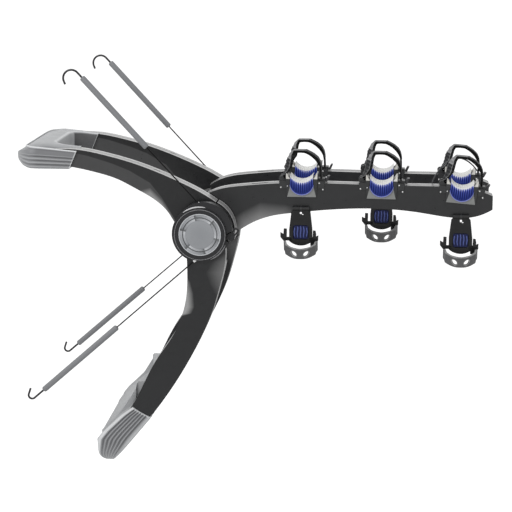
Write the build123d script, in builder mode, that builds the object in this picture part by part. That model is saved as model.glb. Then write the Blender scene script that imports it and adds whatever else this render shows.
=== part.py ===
from build123d import *

import os
from math import cos, radians, sin

os.makedirs("parts", exist_ok=True)

# Seen from the side: +X points away from the vehicle, +Y to its right, +Z up.
# The origin is the middle of the lower pad's sole, which rests on the vehicle.
hub_x = 236
hub_z = 490
overrun = 2
touch_gap = 0.3
run_gap = 0.05

# Stations across the rack, measured from its middle plane
arm_inner = 69
arm_width = 40
arm_gap = 4
upper_width = 44
lower_step = 20
lower_width = 54
knuckle_width = 8
frame_gap = 3.5
arm_mid = arm_inner + arm_width / 2
arm_outer = arm_inner + arm_width
upper_inner = arm_outer + arm_gap
upper_outer = upper_inner + upper_width
lower_inner = upper_inner + lower_step
lower_outer = lower_inner + lower_width
knuckle_inner = upper_outer + frame_gap
knuckle_outer = knuckle_inner + knuckle_width
sides = {"left": -1, "right": 1}


def side_plane(y, x=0, z=0):
    """Side view plane through a point given from the hub axis; extrusions go towards -Y."""
    return Plane(origin=(hub_x + x, y, hub_z + z), x_dir=(1, 0, 0), z_dir=(0, -1, 0))


def slab_plane(side, inner, outer, x=0, z=0):
    """Side view plane from which a slab of that side is extruded by outer less inner."""
    return side_plane(outer if side > 0 else -inner, x, z)


def station_plane(side, inner, outer, number):
    """Side view plane of a cradle station, level with the arm's top there."""
    tilt = radians(station_tilt[number])
    plane = slab_plane(side, inner, outer, station_x[number], station_z[number])
    return Plane(origin=plane.origin, x_dir=(cos(tilt), 0, sin(tilt)), z_dir=(0, -1, 0))


def points(shares, reach, rise):
    """Outline points from shares of a reach and a rise."""
    return [(a * reach, b * rise) for a, b in shares]


def inset(near, far, wall):
    """Points of one edge moved towards the other edge by the wall."""
    moved = []
    for a, b in zip(near, far):
        step = (Vector(*b) - Vector(*a)).normalized() * wall
        moved.append((a[0] + step.X, a[1] + step.Y))
    return moved


def arc_end(radius, angle):
    """Point on a circle about the plane's origin."""
    return (radius * cos(radians(angle)), radius * sin(radians(angle)))


def finish(part, name):
    """Label a piece and write it."""
    part.label = name
    export_step(part, f"parts/{name}.step")


# Hub
axle_r = 8
hub_r = 56
upper_knuckle_r = 74
knuckle_from = -12
knuckle_to = 62
knuckle_clear_r = 85
housing_r = 62
housing_shift = 12
housing_shift_angle = 48
housing_depth = 18
housing_wall = 4
ring_r = 57.5
ring_bore_r = 47
ring_depth = 9
dial_gap = 0.5

# Upper frame, from the hub axis to its end
upper_reach = 400
upper_rise = 200
upper_top_shares = [(0.08, 0.33), (0.035, 0.39), (-0.12, 0.55), (-0.275, 0.68), (-0.39, 0.76),
                    (-0.54, 0.84), (-0.67, 0.89), (-0.78, 0.9), (-0.985, 0.87)]
upper_under_shares = [(-0.03, 0.0), (-0.145, 0.09), (-0.18, 0.2), (-0.28, 0.38), (-0.37, 0.48),
                      (-0.465, 0.575), (-0.56, 0.635), (-0.725, 0.705), (-0.985, 0.75)]
upper_wall = 4
upper_end_depth = 49
upper_opening_r = 42
upper_corner_r = 48
upper_slot_length = 39
upper_slot_width = 7
upper_slot_x = -88
upper_slot_z = 129

# Lower frame, from the hub axis down to its foot
lower_reach = 400
lower_front_shares = [(-0.075, -0.1), (-0.072, -0.25), (-0.083, -0.378), (-0.122, -0.505),
                      (-0.158, -0.578), (-0.248, -0.712), (-0.4, -0.998), (-0.49, -1.12), (-0.545, -1.225)]
lower_rear_shares = [(0.13, -0.02), (0.138, -0.14), (0.103, -0.303), (0.065, -0.433), (0.002, -0.582),
                     (-0.065, -0.71), (-0.28, -1.032), (-0.385, -1.15), (-0.475, -1.25)]
lower_wall = 4.5
lower_opening_share = 1.07
lower_toe = 21
lower_opening_r = 70
lower_corner_r = 50

# Pads
pad_wall = 6
upper_pad_lip = 12
upper_pad_shares = [(-0.695, 0.905), (-0.9, 0.95), (-0.985, 0.945), (-1.03, 0.89), (-1.035, 0.8),
                    (-0.97, 0.68), (-0.735, 0.68), (-0.725, 0.7)]
lower_pad_shares = [(-0.385, -0.985), (-0.455, -1.035), (-0.555, -1.13), (-0.59, -1.17),
                    (-0.59, -1.27), (-0.565, -1.31), (-0.51, -1.325), (-0.28, -1.045)]
lower_pad_opening_share = 1.04
pad_corner_r = 52

# Arms, from the hub axis to their tips
arm_reach = 640
arm_rise = 100
arm_top_shares = [(-0.01, 0.68), (0.056, 0.88), (0.123, 0.95), (0.256, 1.02), (0.47, 1.03),
                  (0.747, 1.0), (0.964, 0.87), (0.993, 0.8)]
arm_under_shares = [(0.05, -0.4), (0.13, -0.01), (0.173, 0.15), (0.24, 0.3), (0.3, 0.36),
                    (0.747, 0.41), (0.947, 0.36), (0.993, 0.5)]
arm_wall = 3.5
arm_slot_length = 38
arm_slot_width = 8
arm_slot_depth = 6
cross_tube_r = 14
cross_tube_wall = 2.5
cross_tube_x = 52
cross_tube_z = 22

# Cradle stations, counted back from the arms' tips
station_pitch = 175.5
tip_margin = 72
crest_lift = 3
crest_shares = [1.0, 0.98, 0.905]
station_tilt = [0, -1, -5]
trough_r = 36
insert_thickness = 6
rib_r = 2.4
rib_count = 9
rib_angle = 9
horn_reach = 31
horn_rise = 20
horn_wall = 5
base_top_half = 27
base_foot_half = 32
base_drop = 30
base_skin = 3
apron_half = 21
apron_drop = 27
apron_thickness = 3
first_station = arm_reach - tip_margin - (len(crest_shares) - 1) * station_pitch
station_x = [first_station + i * station_pitch for i in range(len(crest_shares))]
station_z = [share * (arm_rise + crest_lift) for share in crest_shares]

# Cradle straps, anchors and buckles, from the middle of a station and its crest
strap_width = 25
strap_thickness = 5
strap_rise = 72
strap_arch_shares = [(-1, 0.33), (-0.66, 0.86), (0, 1), (0.7, 0.84), (1, 0.4)]
strap_pin_r = 2.5
strap_eye_r = 6
anchor_x = -45
anchor_z = 9.5
anchor_wall = 4
strap_half = 42
buckle_x = 41
buckle_z = 2
buckle_length = 20
buckle_height = 16
lever_length = 6.5
lever_thickness = 5
lever_width = 17
lever_eye_r = 2.2
lever_eye_lift = 1

# Cages, from the middle of a station and the face that they hang on
cage_x_shift = -1
cage_pin_shares = [0.47, 0.53, 0.34]
cage_pin_r = 2.5
cage_eye_r = 6
cage_stand = 8
cage_lug = 4
cage_top_half = 18
cage_shoulder_half = 21
cage_foot_half = 25.5
cage_length = 71
cage_belly = 10
cage_thickness = 12
cage_window_half = 17.5
cage_window_top = 35
cage_window_height = 32
cage_window_depth = 6
cage_rib_count = 5
cage_vent_r = 2
cage_vent_drop = 12
cage_strap_r = 37
cage_strap_thickness = 4
cage_strap_height = 27
cage_strap_drop = 80
cage_strap_tilt = 25
cage_strap_pin_r = 2
cage_hole_r = 5
cage_hole_spread = 27
tab_height = 4
tab_inner = 20
tab_outer = 39
tab_half = 4.5

# Hook cables
cable_r = 1.5
sleeve_r = 6.5
bore_gap = 0.3
hook_wire_r = 2.3
hook_seat = 26
guide_r = 3.5
guide_length = 12
upper_exit = (-5, 182, 69)
upper_aim = (-139, 2, 151)
upper_sleeve_start = 163
upper_sleeve_end = 368
upper_hook_run = 14
upper_hook_r = 18
upper_hook_turn = 160
upper_hook_tip = 7
lower_exit = (-14, 191, -60)
lower_aim = (-335, 18, -293)
lower_sleeve_start = 226
lower_sleeve_end = 446
lower_hook_run = 28
lower_hook_r = 8
lower_hook_turn = -150
lower_hook_tip = 14

# Lock knob beside the hub
knob_x = 67
knob_z = -6
knob_r = 8.5
knob_length = 12
knob_notch_r = 12.5
lock_pin_r = 4
bail_wire_r = 1.6
bail_half = 5.5
bail_rise = 13
bail_angle = 50

# Plain tie strap at the last station, from the middle of that station
tie_width = 10
tie_thickness = 2.5
tie_left = -67
tie_right = 43
tie_top_x = -15
tie_rise = 64
tie_end = -8
tie_bend_shares = [(0.8, 0.5), (0.75, 0.6)]

upper_top = points(upper_top_shares, upper_reach, upper_rise)
upper_under = points(upper_under_shares, upper_reach, upper_rise)
lower_front = points(lower_front_shares, lower_reach, lower_reach)
lower_rear = points(lower_rear_shares, lower_reach, lower_reach)
arm_top = points(arm_top_shares, arm_reach, arm_rise)
arm_under = points(arm_under_shares, arm_reach, arm_rise)
upper_opening_end = -upper_top[-1][0] - upper_end_depth
lower_opening_end = lower_opening_share * lower_reach
lower_pad_opening = lower_pad_opening_share * lower_reach
arm_slot_x = (upper_knuckle_r + first_station + anchor_x) / 2
cage_pin_z = [share * arm_rise for share in cage_pin_shares]
housing_end = arc_end(housing_shift, housing_shift_angle)


# The upper frame is one hollow moulding: two curved legs that join behind the upper pad.
def make_upper_frame(hollow):
    with BuildPart() as frame:
        with BuildSketch(side_plane(upper_outer)):
            with BuildLine():
                Spline(*upper_top)
                Line(upper_top[-1], upper_under[-1])
                Spline(*upper_under)
                Line(upper_under[0], upper_top[0])
            make_face()
            Circle(hub_r)
            first, last = arc_end(upper_knuckle_r, knuckle_from), arc_end(upper_knuckle_r, knuckle_to)
            with BuildLine():
                CenterArc((0, 0), upper_knuckle_r, knuckle_from, knuckle_to - knuckle_from)
                Polyline(last, (0, 0), first)
            make_face()
        extrude(amount=2 * upper_outer)
        with BuildSketch(Plane.XY.offset(hub_z - upper_rise)):
            with Locations((hub_x - upper_reach / 2, 0)):
                RectangleRounded(upper_reach * 2, 2 * upper_outer, upper_corner_r)
        extrude(amount=2 * upper_rise + upper_knuckle_r, mode=Mode.INTERSECT)
        with BuildSketch(Plane.XY.offset(hub_z - upper_rise)):
            with Locations((hub_x - upper_opening_end + upper_reach, 0)):
                RectangleRounded(upper_reach * 2, 2 * upper_inner, upper_opening_r)
        extrude(amount=2 * upper_rise + upper_knuckle_r, mode=Mode.SUBTRACT)
        with BuildSketch(side_plane(upper_outer + overrun)):
            Circle(axle_r + run_gap)
        extrude(amount=2 * (upper_outer + overrun), mode=Mode.SUBTRACT)
        for side in sides.values():
            if hollow:
                top = inset(upper_top[2:-1], upper_under[2:-1], 2 * upper_wall)
                under = inset(upper_under[2:-1], upper_top[2:-1], upper_wall)
                inner, outer = upper_inner + upper_wall, upper_outer - upper_wall
                with BuildSketch(slab_plane(side, inner, outer)):
                    Circle(hub_r - upper_wall)
                    Circle(2 * axle_r, mode=Mode.SUBTRACT)
                    with BuildLine():
                        Polyline(*top, *reversed(under), close=True)
                    make_face()
                extrude(amount=outer - inner, mode=Mode.SUBTRACT)
            slot_mid = side * (upper_inner + upper_width / 2)
            with BuildSketch(Plane.XY.offset(hub_z + upper_slot_z)):
                with Locations((hub_x + upper_slot_x, slot_mid)):
                    SlotOverall(upper_slot_length, upper_slot_width)
            extrude(amount=upper_rise, mode=Mode.SUBTRACT)
    return frame.part


# The lower frame is the same kind of moulding; its legs stand outside the upper frame's.
def make_lower_frame(hollow):
    with BuildPart() as frame:
        with BuildSketch(side_plane(lower_outer)):
            with BuildLine():
                Spline(*lower_front)
                Line(lower_front[-1], lower_rear[-1])
                Spline(*lower_rear)
                Line(lower_rear[0], lower_front[0])
            make_face()
        extrude(amount=2 * lower_outer)
        height = lower_reach * 2
        with BuildSketch(Plane(origin=(hub_x, 0, hub_z), x_dir=(0, 1, 0), z_dir=(1, 0, 0))):
            with Locations((0, height / 2 + lower_front[-1][1] - lower_toe)):
                RectangleRounded(2 * lower_outer, height, lower_corner_r)
        extrude(amount=lower_reach, both=True, mode=Mode.INTERSECT)
        with BuildSketch(Plane(origin=(hub_x, 0, hub_z), x_dir=(0, 1, 0), z_dir=(1, 0, 0))):
            with Locations((0, height / 2 - lower_opening_end)):
                RectangleRounded(2 * lower_inner, height, lower_opening_r)
        extrude(amount=lower_reach, both=True, mode=Mode.SUBTRACT)
        for side in sides.values():
            with BuildSketch(slab_plane(side, lower_inner - overrun, knuckle_inner)):
                Circle(knuckle_clear_r)
            extrude(amount=knuckle_inner - lower_inner + overrun, mode=Mode.SUBTRACT)
            with BuildSketch(slab_plane(side, knuckle_inner, knuckle_outer)):
                Circle(housing_r)
                with Locations((knob_x, knob_z)):
                    Circle(knob_r)
            extrude(amount=knuckle_width)
            with BuildSketch(slab_plane(side, knuckle_outer, lower_outer + overrun)):
                Circle(housing_r + touch_gap)
                with Locations(housing_end):
                    Circle(housing_r + touch_gap)
            extrude(amount=lower_outer + overrun - knuckle_outer, mode=Mode.SUBTRACT)
            if hollow:
                front = inset(lower_front[2:-2], lower_rear[2:-2], lower_wall)
                rear = inset(lower_rear[2:-2], lower_front[2:-2], lower_wall)
                inner, outer = lower_inner + lower_wall, lower_outer - lower_wall
                with BuildSketch(slab_plane(side, inner, outer)):
                    with BuildLine():
                        Polyline(*front, *reversed(rear), close=True)
                    make_face()
                extrude(amount=outer - inner, mode=Mode.SUBTRACT)
            with BuildSketch(slab_plane(side, knuckle_inner - overrun, knuckle_outer + overrun)):
                Circle(axle_r)
                with Locations((knob_x, knob_z)):
                    Circle(lock_pin_r + run_gap)
            extrude(amount=knuckle_width + 2 * overrun, mode=Mode.SUBTRACT)
            with BuildSketch(slab_plane(side, knuckle_outer, lower_outer + overrun, knob_x, knob_z)):
                Circle(knob_notch_r)
            extrude(amount=lower_outer + overrun - knuckle_outer, mode=Mode.SUBTRACT)
        if hollow:
            half = lower_outer - lower_corner_r
            with BuildSketch(side_plane(half)):
                with BuildLine():
                    Polyline(*lower_front[-2:], *reversed(lower_rear[-2:]), close=True)
                make_face()
                offset(amount=-lower_wall, kind=Kind.INTERSECTION, mode=Mode.REPLACE)
            extrude(amount=2 * half, mode=Mode.SUBTRACT)
    return frame.part


# Each pad is a rubber sheath, cut to the frame end that it is pushed over.
def make_upper_pad(frame):
    outline = points(upper_pad_shares, upper_reach, upper_rise)
    with BuildPart() as pad:
        with BuildSketch(side_plane(upper_outer + pad_wall)):
            with BuildLine():
                Polyline(*outline, close=True)
            make_face()
        extrude(amount=2 * (upper_outer + pad_wall))
        with BuildSketch(Plane.XY.offset(hub_z)):
            with Locations((hub_x + upper_pad_shares[4][0] * upper_reach + upper_reach, 0)):
                RectangleRounded(upper_reach * 2, 2 * (upper_outer + pad_wall), pad_corner_r)
        extrude(amount=upper_rise * 2, mode=Mode.INTERSECT)
        with BuildSketch(Plane.XY.offset(hub_z)):
            with Locations((hub_x - upper_opening_end + upper_pad_lip + upper_reach, 0)):
                RectangleRounded(upper_reach * 2, 2 * (upper_inner - pad_wall), upper_opening_r - pad_wall)
        extrude(amount=upper_rise * 2, mode=Mode.SUBTRACT)
        add(frame, mode=Mode.SUBTRACT)
    return pad.part


def make_lower_pad(frame):
    outline = points(lower_pad_shares, lower_reach, lower_reach)
    height = lower_reach * 2
    foot = -lower_pad_shares[6][1] * lower_reach
    front_view = Plane(origin=(hub_x, 0, hub_z), x_dir=(0, 1, 0), z_dir=(1, 0, 0))
    with BuildPart() as pad:
        with BuildSketch(side_plane(lower_outer + pad_wall)):
            with BuildLine():
                Polyline(*outline, close=True)
            make_face()
        extrude(amount=2 * (lower_outer + pad_wall))
        with BuildSketch(front_view):
            with Locations((0, height / 2 - foot)):
                RectangleRounded(2 * (lower_outer + pad_wall), height, pad_corner_r)
        extrude(amount=lower_reach, both=True, mode=Mode.INTERSECT)
        with BuildSketch(front_view):
            with Locations((0, height / 2 - lower_pad_opening)):
                RectangleRounded(2 * (lower_inner - pad_wall), height, lower_opening_r - pad_wall)
        extrude(amount=lower_reach, both=True, mode=Mode.SUBTRACT)
        add(frame, mode=Mode.SUBTRACT)
    return pad.part


# Hub: a steel axle through all knuckles, and on each side a housing, a ring, a nut and a dial.
def make_axle():
    reach = knuckle_outer + housing_depth - dial_gap
    with BuildPart() as axle:
        with BuildSketch(side_plane(reach)):
            Circle(axle_r)
        extrude(amount=2 * reach)
    return axle.part


def make_nuts():
    inner = knuckle_outer + housing_wall
    with BuildPart() as nuts:
        for side in sides.values():
            with BuildSketch(slab_plane(side, inner, inner + housing_wall)):
                RegularPolygon(2 * axle_r, 6)
                Circle(axle_r, mode=Mode.SUBTRACT)
            extrude(amount=housing_wall)
    return nuts.part


def housing_outline(radius):
    """The round of the housing, drawn out a little towards the upper frame."""
    Circle(radius)
    with Locations(housing_end):
        Circle(radius)


def cable_plane(side, exit_point, aim):
    """Plane with its X axis along a cable and its Z axis out of the rack's side."""
    along = Vector(aim[0], side * aim[1], aim[2]).normalized()
    outward = Vector(0, -1, 0)
    normal = outward - along * outward.dot(along)
    origin = (hub_x + exit_point[0], side * exit_point[1], hub_z + exit_point[2])
    return Plane(origin=origin, x_dir=along, z_dir=normal)


def across(plane, distance):
    """Plane square to a cable, at a distance from its exit."""
    return Plane(origin=plane.from_local_coords((distance, 0)), x_dir=plane.z_dir, z_dir=plane.x_dir)


cable_runs = {"upper": (upper_exit, upper_aim), "lower": (lower_exit, lower_aim)}


def make_housing(side):
    inner, outer = knuckle_outer, knuckle_outer + housing_depth
    with BuildPart() as housing:
        with BuildSketch(slab_plane(side, inner, outer)):
            housing_outline(housing_r)
        extrude(amount=housing_depth)
        floor = housing_wall
        with BuildSketch(slab_plane(side, inner + floor, outer + overrun)):
            housing_outline(housing_r - housing_wall)
        extrude(amount=housing_depth - floor + overrun, mode=Mode.SUBTRACT)
        with BuildSketch(slab_plane(side, inner - overrun, outer)):
            Circle(axle_r)
        extrude(amount=housing_depth + overrun, mode=Mode.SUBTRACT)
        with BuildSketch(slab_plane(side, inner - overrun, outer + overrun, knob_x, knob_z)):
            Circle(knob_notch_r)
        extrude(amount=housing_depth + 2 * overrun, mode=Mode.SUBTRACT)
        with BuildSketch(across(cable_plane(side, upper_exit, upper_aim), -2 * guide_length)):
            Circle(guide_r)
        extrude(amount=3 * guide_length, mode=Mode.SUBTRACT)
    return housing.part


def make_guides():
    with BuildPart() as guides:
        for side in sides.values():
            for exit_point, aim in cable_runs.values():
                plane = cable_plane(side, exit_point, aim)
                with BuildSketch(across(plane, -guide_length)):
                    Circle(guide_r)
                    Circle(cable_r + bore_gap, mode=Mode.SUBTRACT)
                extrude(amount=guide_length)
    return guides.part


def make_ring(side):
    inner = knuckle_outer + housing_depth
    with BuildPart() as ring:
        with BuildSketch(slab_plane(side, inner, inner + ring_depth)):
            Circle(ring_r)
            Circle(ring_bore_r, mode=Mode.SUBTRACT)
        extrude(amount=ring_depth)
        with BuildSketch(slab_plane(side, inner, inner + housing_wall / 2)):
            housing_outline(housing_r)
            Circle(ring_bore_r, mode=Mode.SUBTRACT)
            with Locations((knob_x, knob_z)):
                Circle(knob_notch_r, mode=Mode.SUBTRACT)
        extrude(amount=housing_wall / 2)
        with BuildSketch(across(cable_plane(side, lower_exit, lower_aim), -2 * guide_length)):
            Circle(guide_r)
        extrude(amount=3 * guide_length, mode=Mode.SUBTRACT)
    return ring.part


# Dial: an outer band, a sunk groove, a second band and a smooth middle, with notches round both bands.
dial_notch_count = 6
dial_notch_turn = 12
dial_band_r = 38
dial_inner_r = 31
dial_step = 1.6
dial_thickness = 3
dial_notch_width = 4
spool_r = 30
spool_flange_r = 33
spool_depth = 8


def make_dial(side):
    inner = knuckle_outer + housing_depth
    front = inner + ring_depth - dial_gap
    back = front - dial_thickness
    with BuildPart() as dial:
        with BuildSketch(slab_plane(side, back, front)):
            Circle(ring_bore_r - dial_gap)
        extrude(amount=dial_thickness)
        with BuildSketch(slab_plane(side, front - dial_step, front + overrun)):
            Circle(dial_band_r)
        extrude(amount=dial_step + overrun, mode=Mode.SUBTRACT)
        with BuildSketch(slab_plane(side, front - dial_step, front - dial_step / 2)):
            Circle(dial_band_r - dial_step)
            Circle(dial_inner_r, mode=Mode.SUBTRACT)
        extrude(amount=dial_step / 2)
        with BuildSketch(slab_plane(side, front - dial_step, front + overrun)):
            with PolarLocations((dial_inner_r + ring_bore_r) / 2, dial_notch_count, dial_notch_turn):
                Rectangle(ring_bore_r - dial_inner_r + 2 * dial_step, dial_notch_width)
        extrude(amount=dial_step + overrun, mode=Mode.SUBTRACT)
        with BuildSketch(slab_plane(side, inner + dial_gap, back)):
            Circle(spool_r)
            Circle(axle_r + run_gap, mode=Mode.SUBTRACT)
        extrude(amount=back - inner - dial_gap)
    return dial.part


def make_spool(side):
    outer = knuckle_outer + housing_depth + dial_gap
    inner = outer - spool_depth
    with BuildPart() as spool:
        with BuildSketch(slab_plane(side, inner, outer)):
            Circle(spool_r)
            Circle(axle_r + run_gap, mode=Mode.SUBTRACT)
        extrude(amount=spool_depth)
        with BuildSketch(slab_plane(side, inner, inner + dial_step / 2)):
            Circle(spool_flange_r)
            Circle(axle_r + run_gap, mode=Mode.SUBTRACT)
        extrude(amount=dial_step / 2)
    return spool.part


# Lock: a round knob on a spring pin, with a wire bail to pull it by.
def make_lock(side):
    inner = upper_outer + touch_gap
    face = knuckle_outer + touch_gap
    with BuildPart() as lock:
        with BuildSketch(slab_plane(side, face, face + knob_length, knob_x, knob_z)):
            Circle(knob_r)
        extrude(amount=knob_length)
        with BuildSketch(slab_plane(side, inner, face, knob_x, knob_z)):
            Circle(lock_pin_r)
        extrude(amount=face - inner)
        bail_face = face + knob_length - 2 * bail_wire_r
        with BuildSketch(slab_plane(side, bail_face, face + knob_length, knob_x, knob_z)):
            with Locations(arc_end(knob_r + bail_rise / 2, bail_angle)):
                Rectangle(bail_rise + 2 * bail_wire_r, 2 * bail_half, bail_angle)
                opening = 2 * bail_half - 4 * bail_wire_r
                Rectangle(bail_rise - 2 * bail_wire_r, opening, bail_angle, mode=Mode.SUBTRACT)
        extrude(amount=2 * bail_wire_r)
    return lock.part


# Arms: two hollow mouldings on one cross tube, cut where the cradle troughs sink into them.
def make_arm(side, hollow):
    with BuildPart() as arm:
        with BuildSketch(slab_plane(side, arm_inner, arm_outer)):
            with BuildLine():
                Spline(*arm_top)
                Line(arm_top[-1], arm_under[-1])
                Spline(*arm_under)
                Line(arm_under[0], arm_top[0])
            make_face()
            Circle(hub_r)
        extrude(amount=arm_width)
        if hollow:
            with BuildSketch(slab_plane(side, arm_inner + arm_wall, arm_outer - arm_wall)):
                top = inset(arm_top[3:-1], arm_under[3:-1], 3 * arm_wall)
                under = inset(arm_under[3:-1], arm_top[3:-1], arm_wall)
                with BuildLine():
                    Polyline(*top, *reversed(under), close=True)
                make_face()
                Circle(hub_r - cross_tube_r - 2 * arm_wall)
                Circle(2 * axle_r, mode=Mode.SUBTRACT)
            extrude(amount=arm_width - 2 * arm_wall, mode=Mode.SUBTRACT)
        with BuildSketch(slab_plane(side, arm_inner - overrun, arm_outer + overrun)):
            Circle(axle_r + run_gap)
            with Locations((cross_tube_x, cross_tube_z)):
                Circle(cross_tube_r)
            for x, z in zip(station_x, station_z):
                with Locations((x, z + trough_r)):
                    Circle(trough_r + base_skin)
        extrude(amount=arm_width + 2 * overrun, mode=Mode.SUBTRACT)
        with BuildSketch(Plane.XY.offset(hub_z + arm_rise - arm_slot_depth)):
            with Locations((hub_x + arm_slot_x, side * arm_mid)):
                SlotOverall(arm_slot_length, arm_slot_width)
        extrude(amount=arm_rise, mode=Mode.SUBTRACT)
    return arm.part


def make_cross_tube():
    reach = arm_outer - arm_wall
    with BuildPart() as tube:
        with BuildSketch(side_plane(reach, cross_tube_x, cross_tube_z)):
            Circle(cross_tube_r)
            Circle(cross_tube_r - cross_tube_wall, mode=Mode.SUBTRACT)
        extrude(amount=2 * reach)
    return tube.part


# Cradle base: a saddle over the arm with two horns, the strap's anchor and its buckle block.
def make_bases(side, arm):
    inner, outer = arm_inner - base_skin, arm_outer + base_skin
    strap_inner = arm_mid - strap_width / 2
    with BuildPart() as bases:
        for number in range(len(station_x)):
            with BuildSketch(station_plane(side, inner, outer, number)):
                with BuildLine():
                    Polyline((-horn_reach - horn_wall, horn_rise), (-base_top_half, horn_rise + base_skin),
                             (base_top_half, horn_rise + base_skin), (horn_reach + horn_wall, horn_rise),
                             (base_foot_half, -base_drop), (-base_foot_half, -base_drop), close=True)
                make_face()
            extrude(amount=outer - inner)
            with BuildSketch(station_plane(side, strap_inner - anchor_wall, strap_inner, number)):
                with Locations((anchor_x, anchor_z)):
                    Circle(strap_eye_r)
                with Locations((anchor_x / 2, anchor_z - strap_eye_r)):
                    Rectangle(-anchor_x, strap_eye_r * 2)
            extrude(amount=anchor_wall)
            strap_outer = strap_inner + strap_width
            with BuildSketch(station_plane(side, strap_outer, strap_outer + anchor_wall, number)):
                with Locations((anchor_x, anchor_z)):
                    Circle(strap_eye_r)
                with Locations((anchor_x / 2, anchor_z - strap_eye_r)):
                    Rectangle(-anchor_x, strap_eye_r * 2)
            extrude(amount=anchor_wall)
            with BuildSketch(station_plane(side, strap_inner - touch_gap, strap_outer + touch_gap, number)):
                with Locations((anchor_x, anchor_z)):
                    Circle(strap_pin_r)
            extrude(amount=strap_width + 2 * touch_gap)
            with BuildSketch(station_plane(side, strap_inner, strap_outer, number)):
                with Locations((buckle_x, buckle_z)):
                    Rectangle(buckle_length, buckle_height)
            extrude(amount=strap_width)
            with BuildSketch(station_plane(side, inner - overrun, outer + overrun, number)):
                with Locations((0, trough_r)):
                    Circle(trough_r)
            extrude(amount=outer - inner + 2 * overrun, mode=Mode.SUBTRACT)
        add(arm, mode=Mode.SUBTRACT)
    return bases.part


# Insert: blue rubber liner of a trough, scalloped along the arm, with an apron down the arm's outer side.
def make_inserts(side):
    inner, outer = arm_inner - base_skin, arm_outer + base_skin
    with BuildPart() as inserts:
        for number in range(len(station_x)):
            with BuildSketch(station_plane(side, inner, outer, number)):
                with Locations((0, trough_r)):
                    Circle(trough_r)
                    Circle(trough_r - insert_thickness, mode=Mode.SUBTRACT)
                with Locations((0, horn_rise / 2)):
                    Rectangle(2 * base_top_half, horn_rise, mode=Mode.INTERSECT)
                with Locations((0, trough_r)):
                    first_rib = 270 - rib_angle * (rib_count - 1) / 2
                    spread = rib_angle * rib_count
                    with PolarLocations(trough_r - insert_thickness, rib_count, first_rib, spread):
                        Circle(rib_r)
            extrude(amount=outer - inner)
            with BuildSketch(station_plane(side, outer, outer + apron_thickness, number)):
                top, foot = horn_rise / 2, -apron_drop / 2
                with BuildLine():
                    Line((-apron_half, top), (-apron_half, foot))
                    ThreePointArc((-apron_half, foot), (0, -apron_drop), (apron_half, foot))
                    Line((apron_half, foot), (apron_half, top))
                    ThreePointArc((apron_half, top), (0, 0), (-apron_half, top))
                make_face()
            extrude(amount=apron_thickness)
    return inserts.part


def strap_curve(inset_by):
    """Points of the strap's arch from the anchor to the buckle, inset from its outer face."""
    arch = points(strap_arch_shares, strap_half - inset_by, strap_rise - inset_by)
    left, right = anchor_x - strap_eye_r / 2, buckle_x + strap_thickness
    foot = buckle_z + buckle_height / 2 + touch_gap
    return [(left + inset_by, anchor_z), *arch, (right - inset_by, foot)]


def make_strap(side, number):
    inner = arm_mid - strap_width / 2 + touch_gap
    width = strap_width - 2 * touch_gap
    outside, inside = strap_curve(0), strap_curve(strap_thickness)
    with BuildPart() as strap:
        with BuildSketch(station_plane(side, inner, inner + width, number)):
            with BuildLine():
                Spline(*outside)
                Line(outside[-1], inside[-1])
                Spline(*inside)
                Line(inside[0], outside[0])
            make_face()
            with Locations((anchor_x, anchor_z)):
                Circle(strap_eye_r)
                Circle(strap_pin_r + run_gap, mode=Mode.SUBTRACT)
        extrude(amount=width)
    return strap.part


def make_lever(side, number):
    inner = arm_mid - lever_width / 2
    left = buckle_x + buckle_length / 2 + touch_gap
    top = buckle_z + buckle_height / 2
    with BuildPart() as lever:
        with BuildSketch(station_plane(side, inner, inner + lever_width, number)):
            step = lever_thickness
            with BuildLine():
                Polyline((left, top - lever_length), (left, top - step), (left + step, top + step),
                         (left + 2 * step, top + step), (left + step, top - lever_length), close=True)
            make_face()
            with Locations((left + step / 2, top - lever_length + lever_eye_lift)):
                Circle(lever_eye_r)
        extrude(amount=lever_width)
    return lever.part


# Cages hang from the arms: a hinged tray with two ears, a ribbed pad in its window and a strap loop.
cage_faces = [("left", -arm_outer), ("right", arm_inner), ("left", -arm_outer)]


def cage_plane(number, y):
    """Side view plane of a cage's hinge pin, out from the face that it hangs on."""
    face = cage_faces[number][1]
    return side_plane(face + y, station_x[number] + cage_x_shift, cage_pin_z[number])


def pin_plane(number, x):
    """End view plane of a cage's hinge pin, with its X axis out from the arm."""
    face = cage_faces[number][1]
    origin = (hub_x + station_x[number] + cage_x_shift + x, face - cage_stand, hub_z + cage_pin_z[number])
    return Plane(origin=origin, x_dir=(0, -1, 0), z_dir=(-1, 0, 0))


def make_cage_brackets():
    with BuildPart() as brackets:
        for number in range(len(cage_faces)):
            with BuildSketch(pin_plane(number, cage_lug / 2)):
                Circle(cage_eye_r)
                with Locations((-cage_stand / 2, 0)):
                    Rectangle(cage_stand, 2 * cage_eye_r)
            extrude(amount=cage_lug)
            with BuildSketch(pin_plane(number, cage_top_half)):
                Circle(cage_pin_r)
            extrude(amount=2 * cage_top_half)
    return brackets.part


def cage_strap_plane(number):
    """Plane of a cage's strap loop, which leans down away from the cage."""
    face = cage_faces[number][1]
    tilt = radians(cage_strap_tilt)
    x, z = station_x[number] + cage_x_shift, cage_pin_z[number] - cage_strap_drop
    origin = (hub_x + x, face - cage_stand, hub_z + z)
    return Plane(origin=origin, x_dir=(1, 0, 0), z_dir=(0, -sin(tilt), cos(tilt)))


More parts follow.
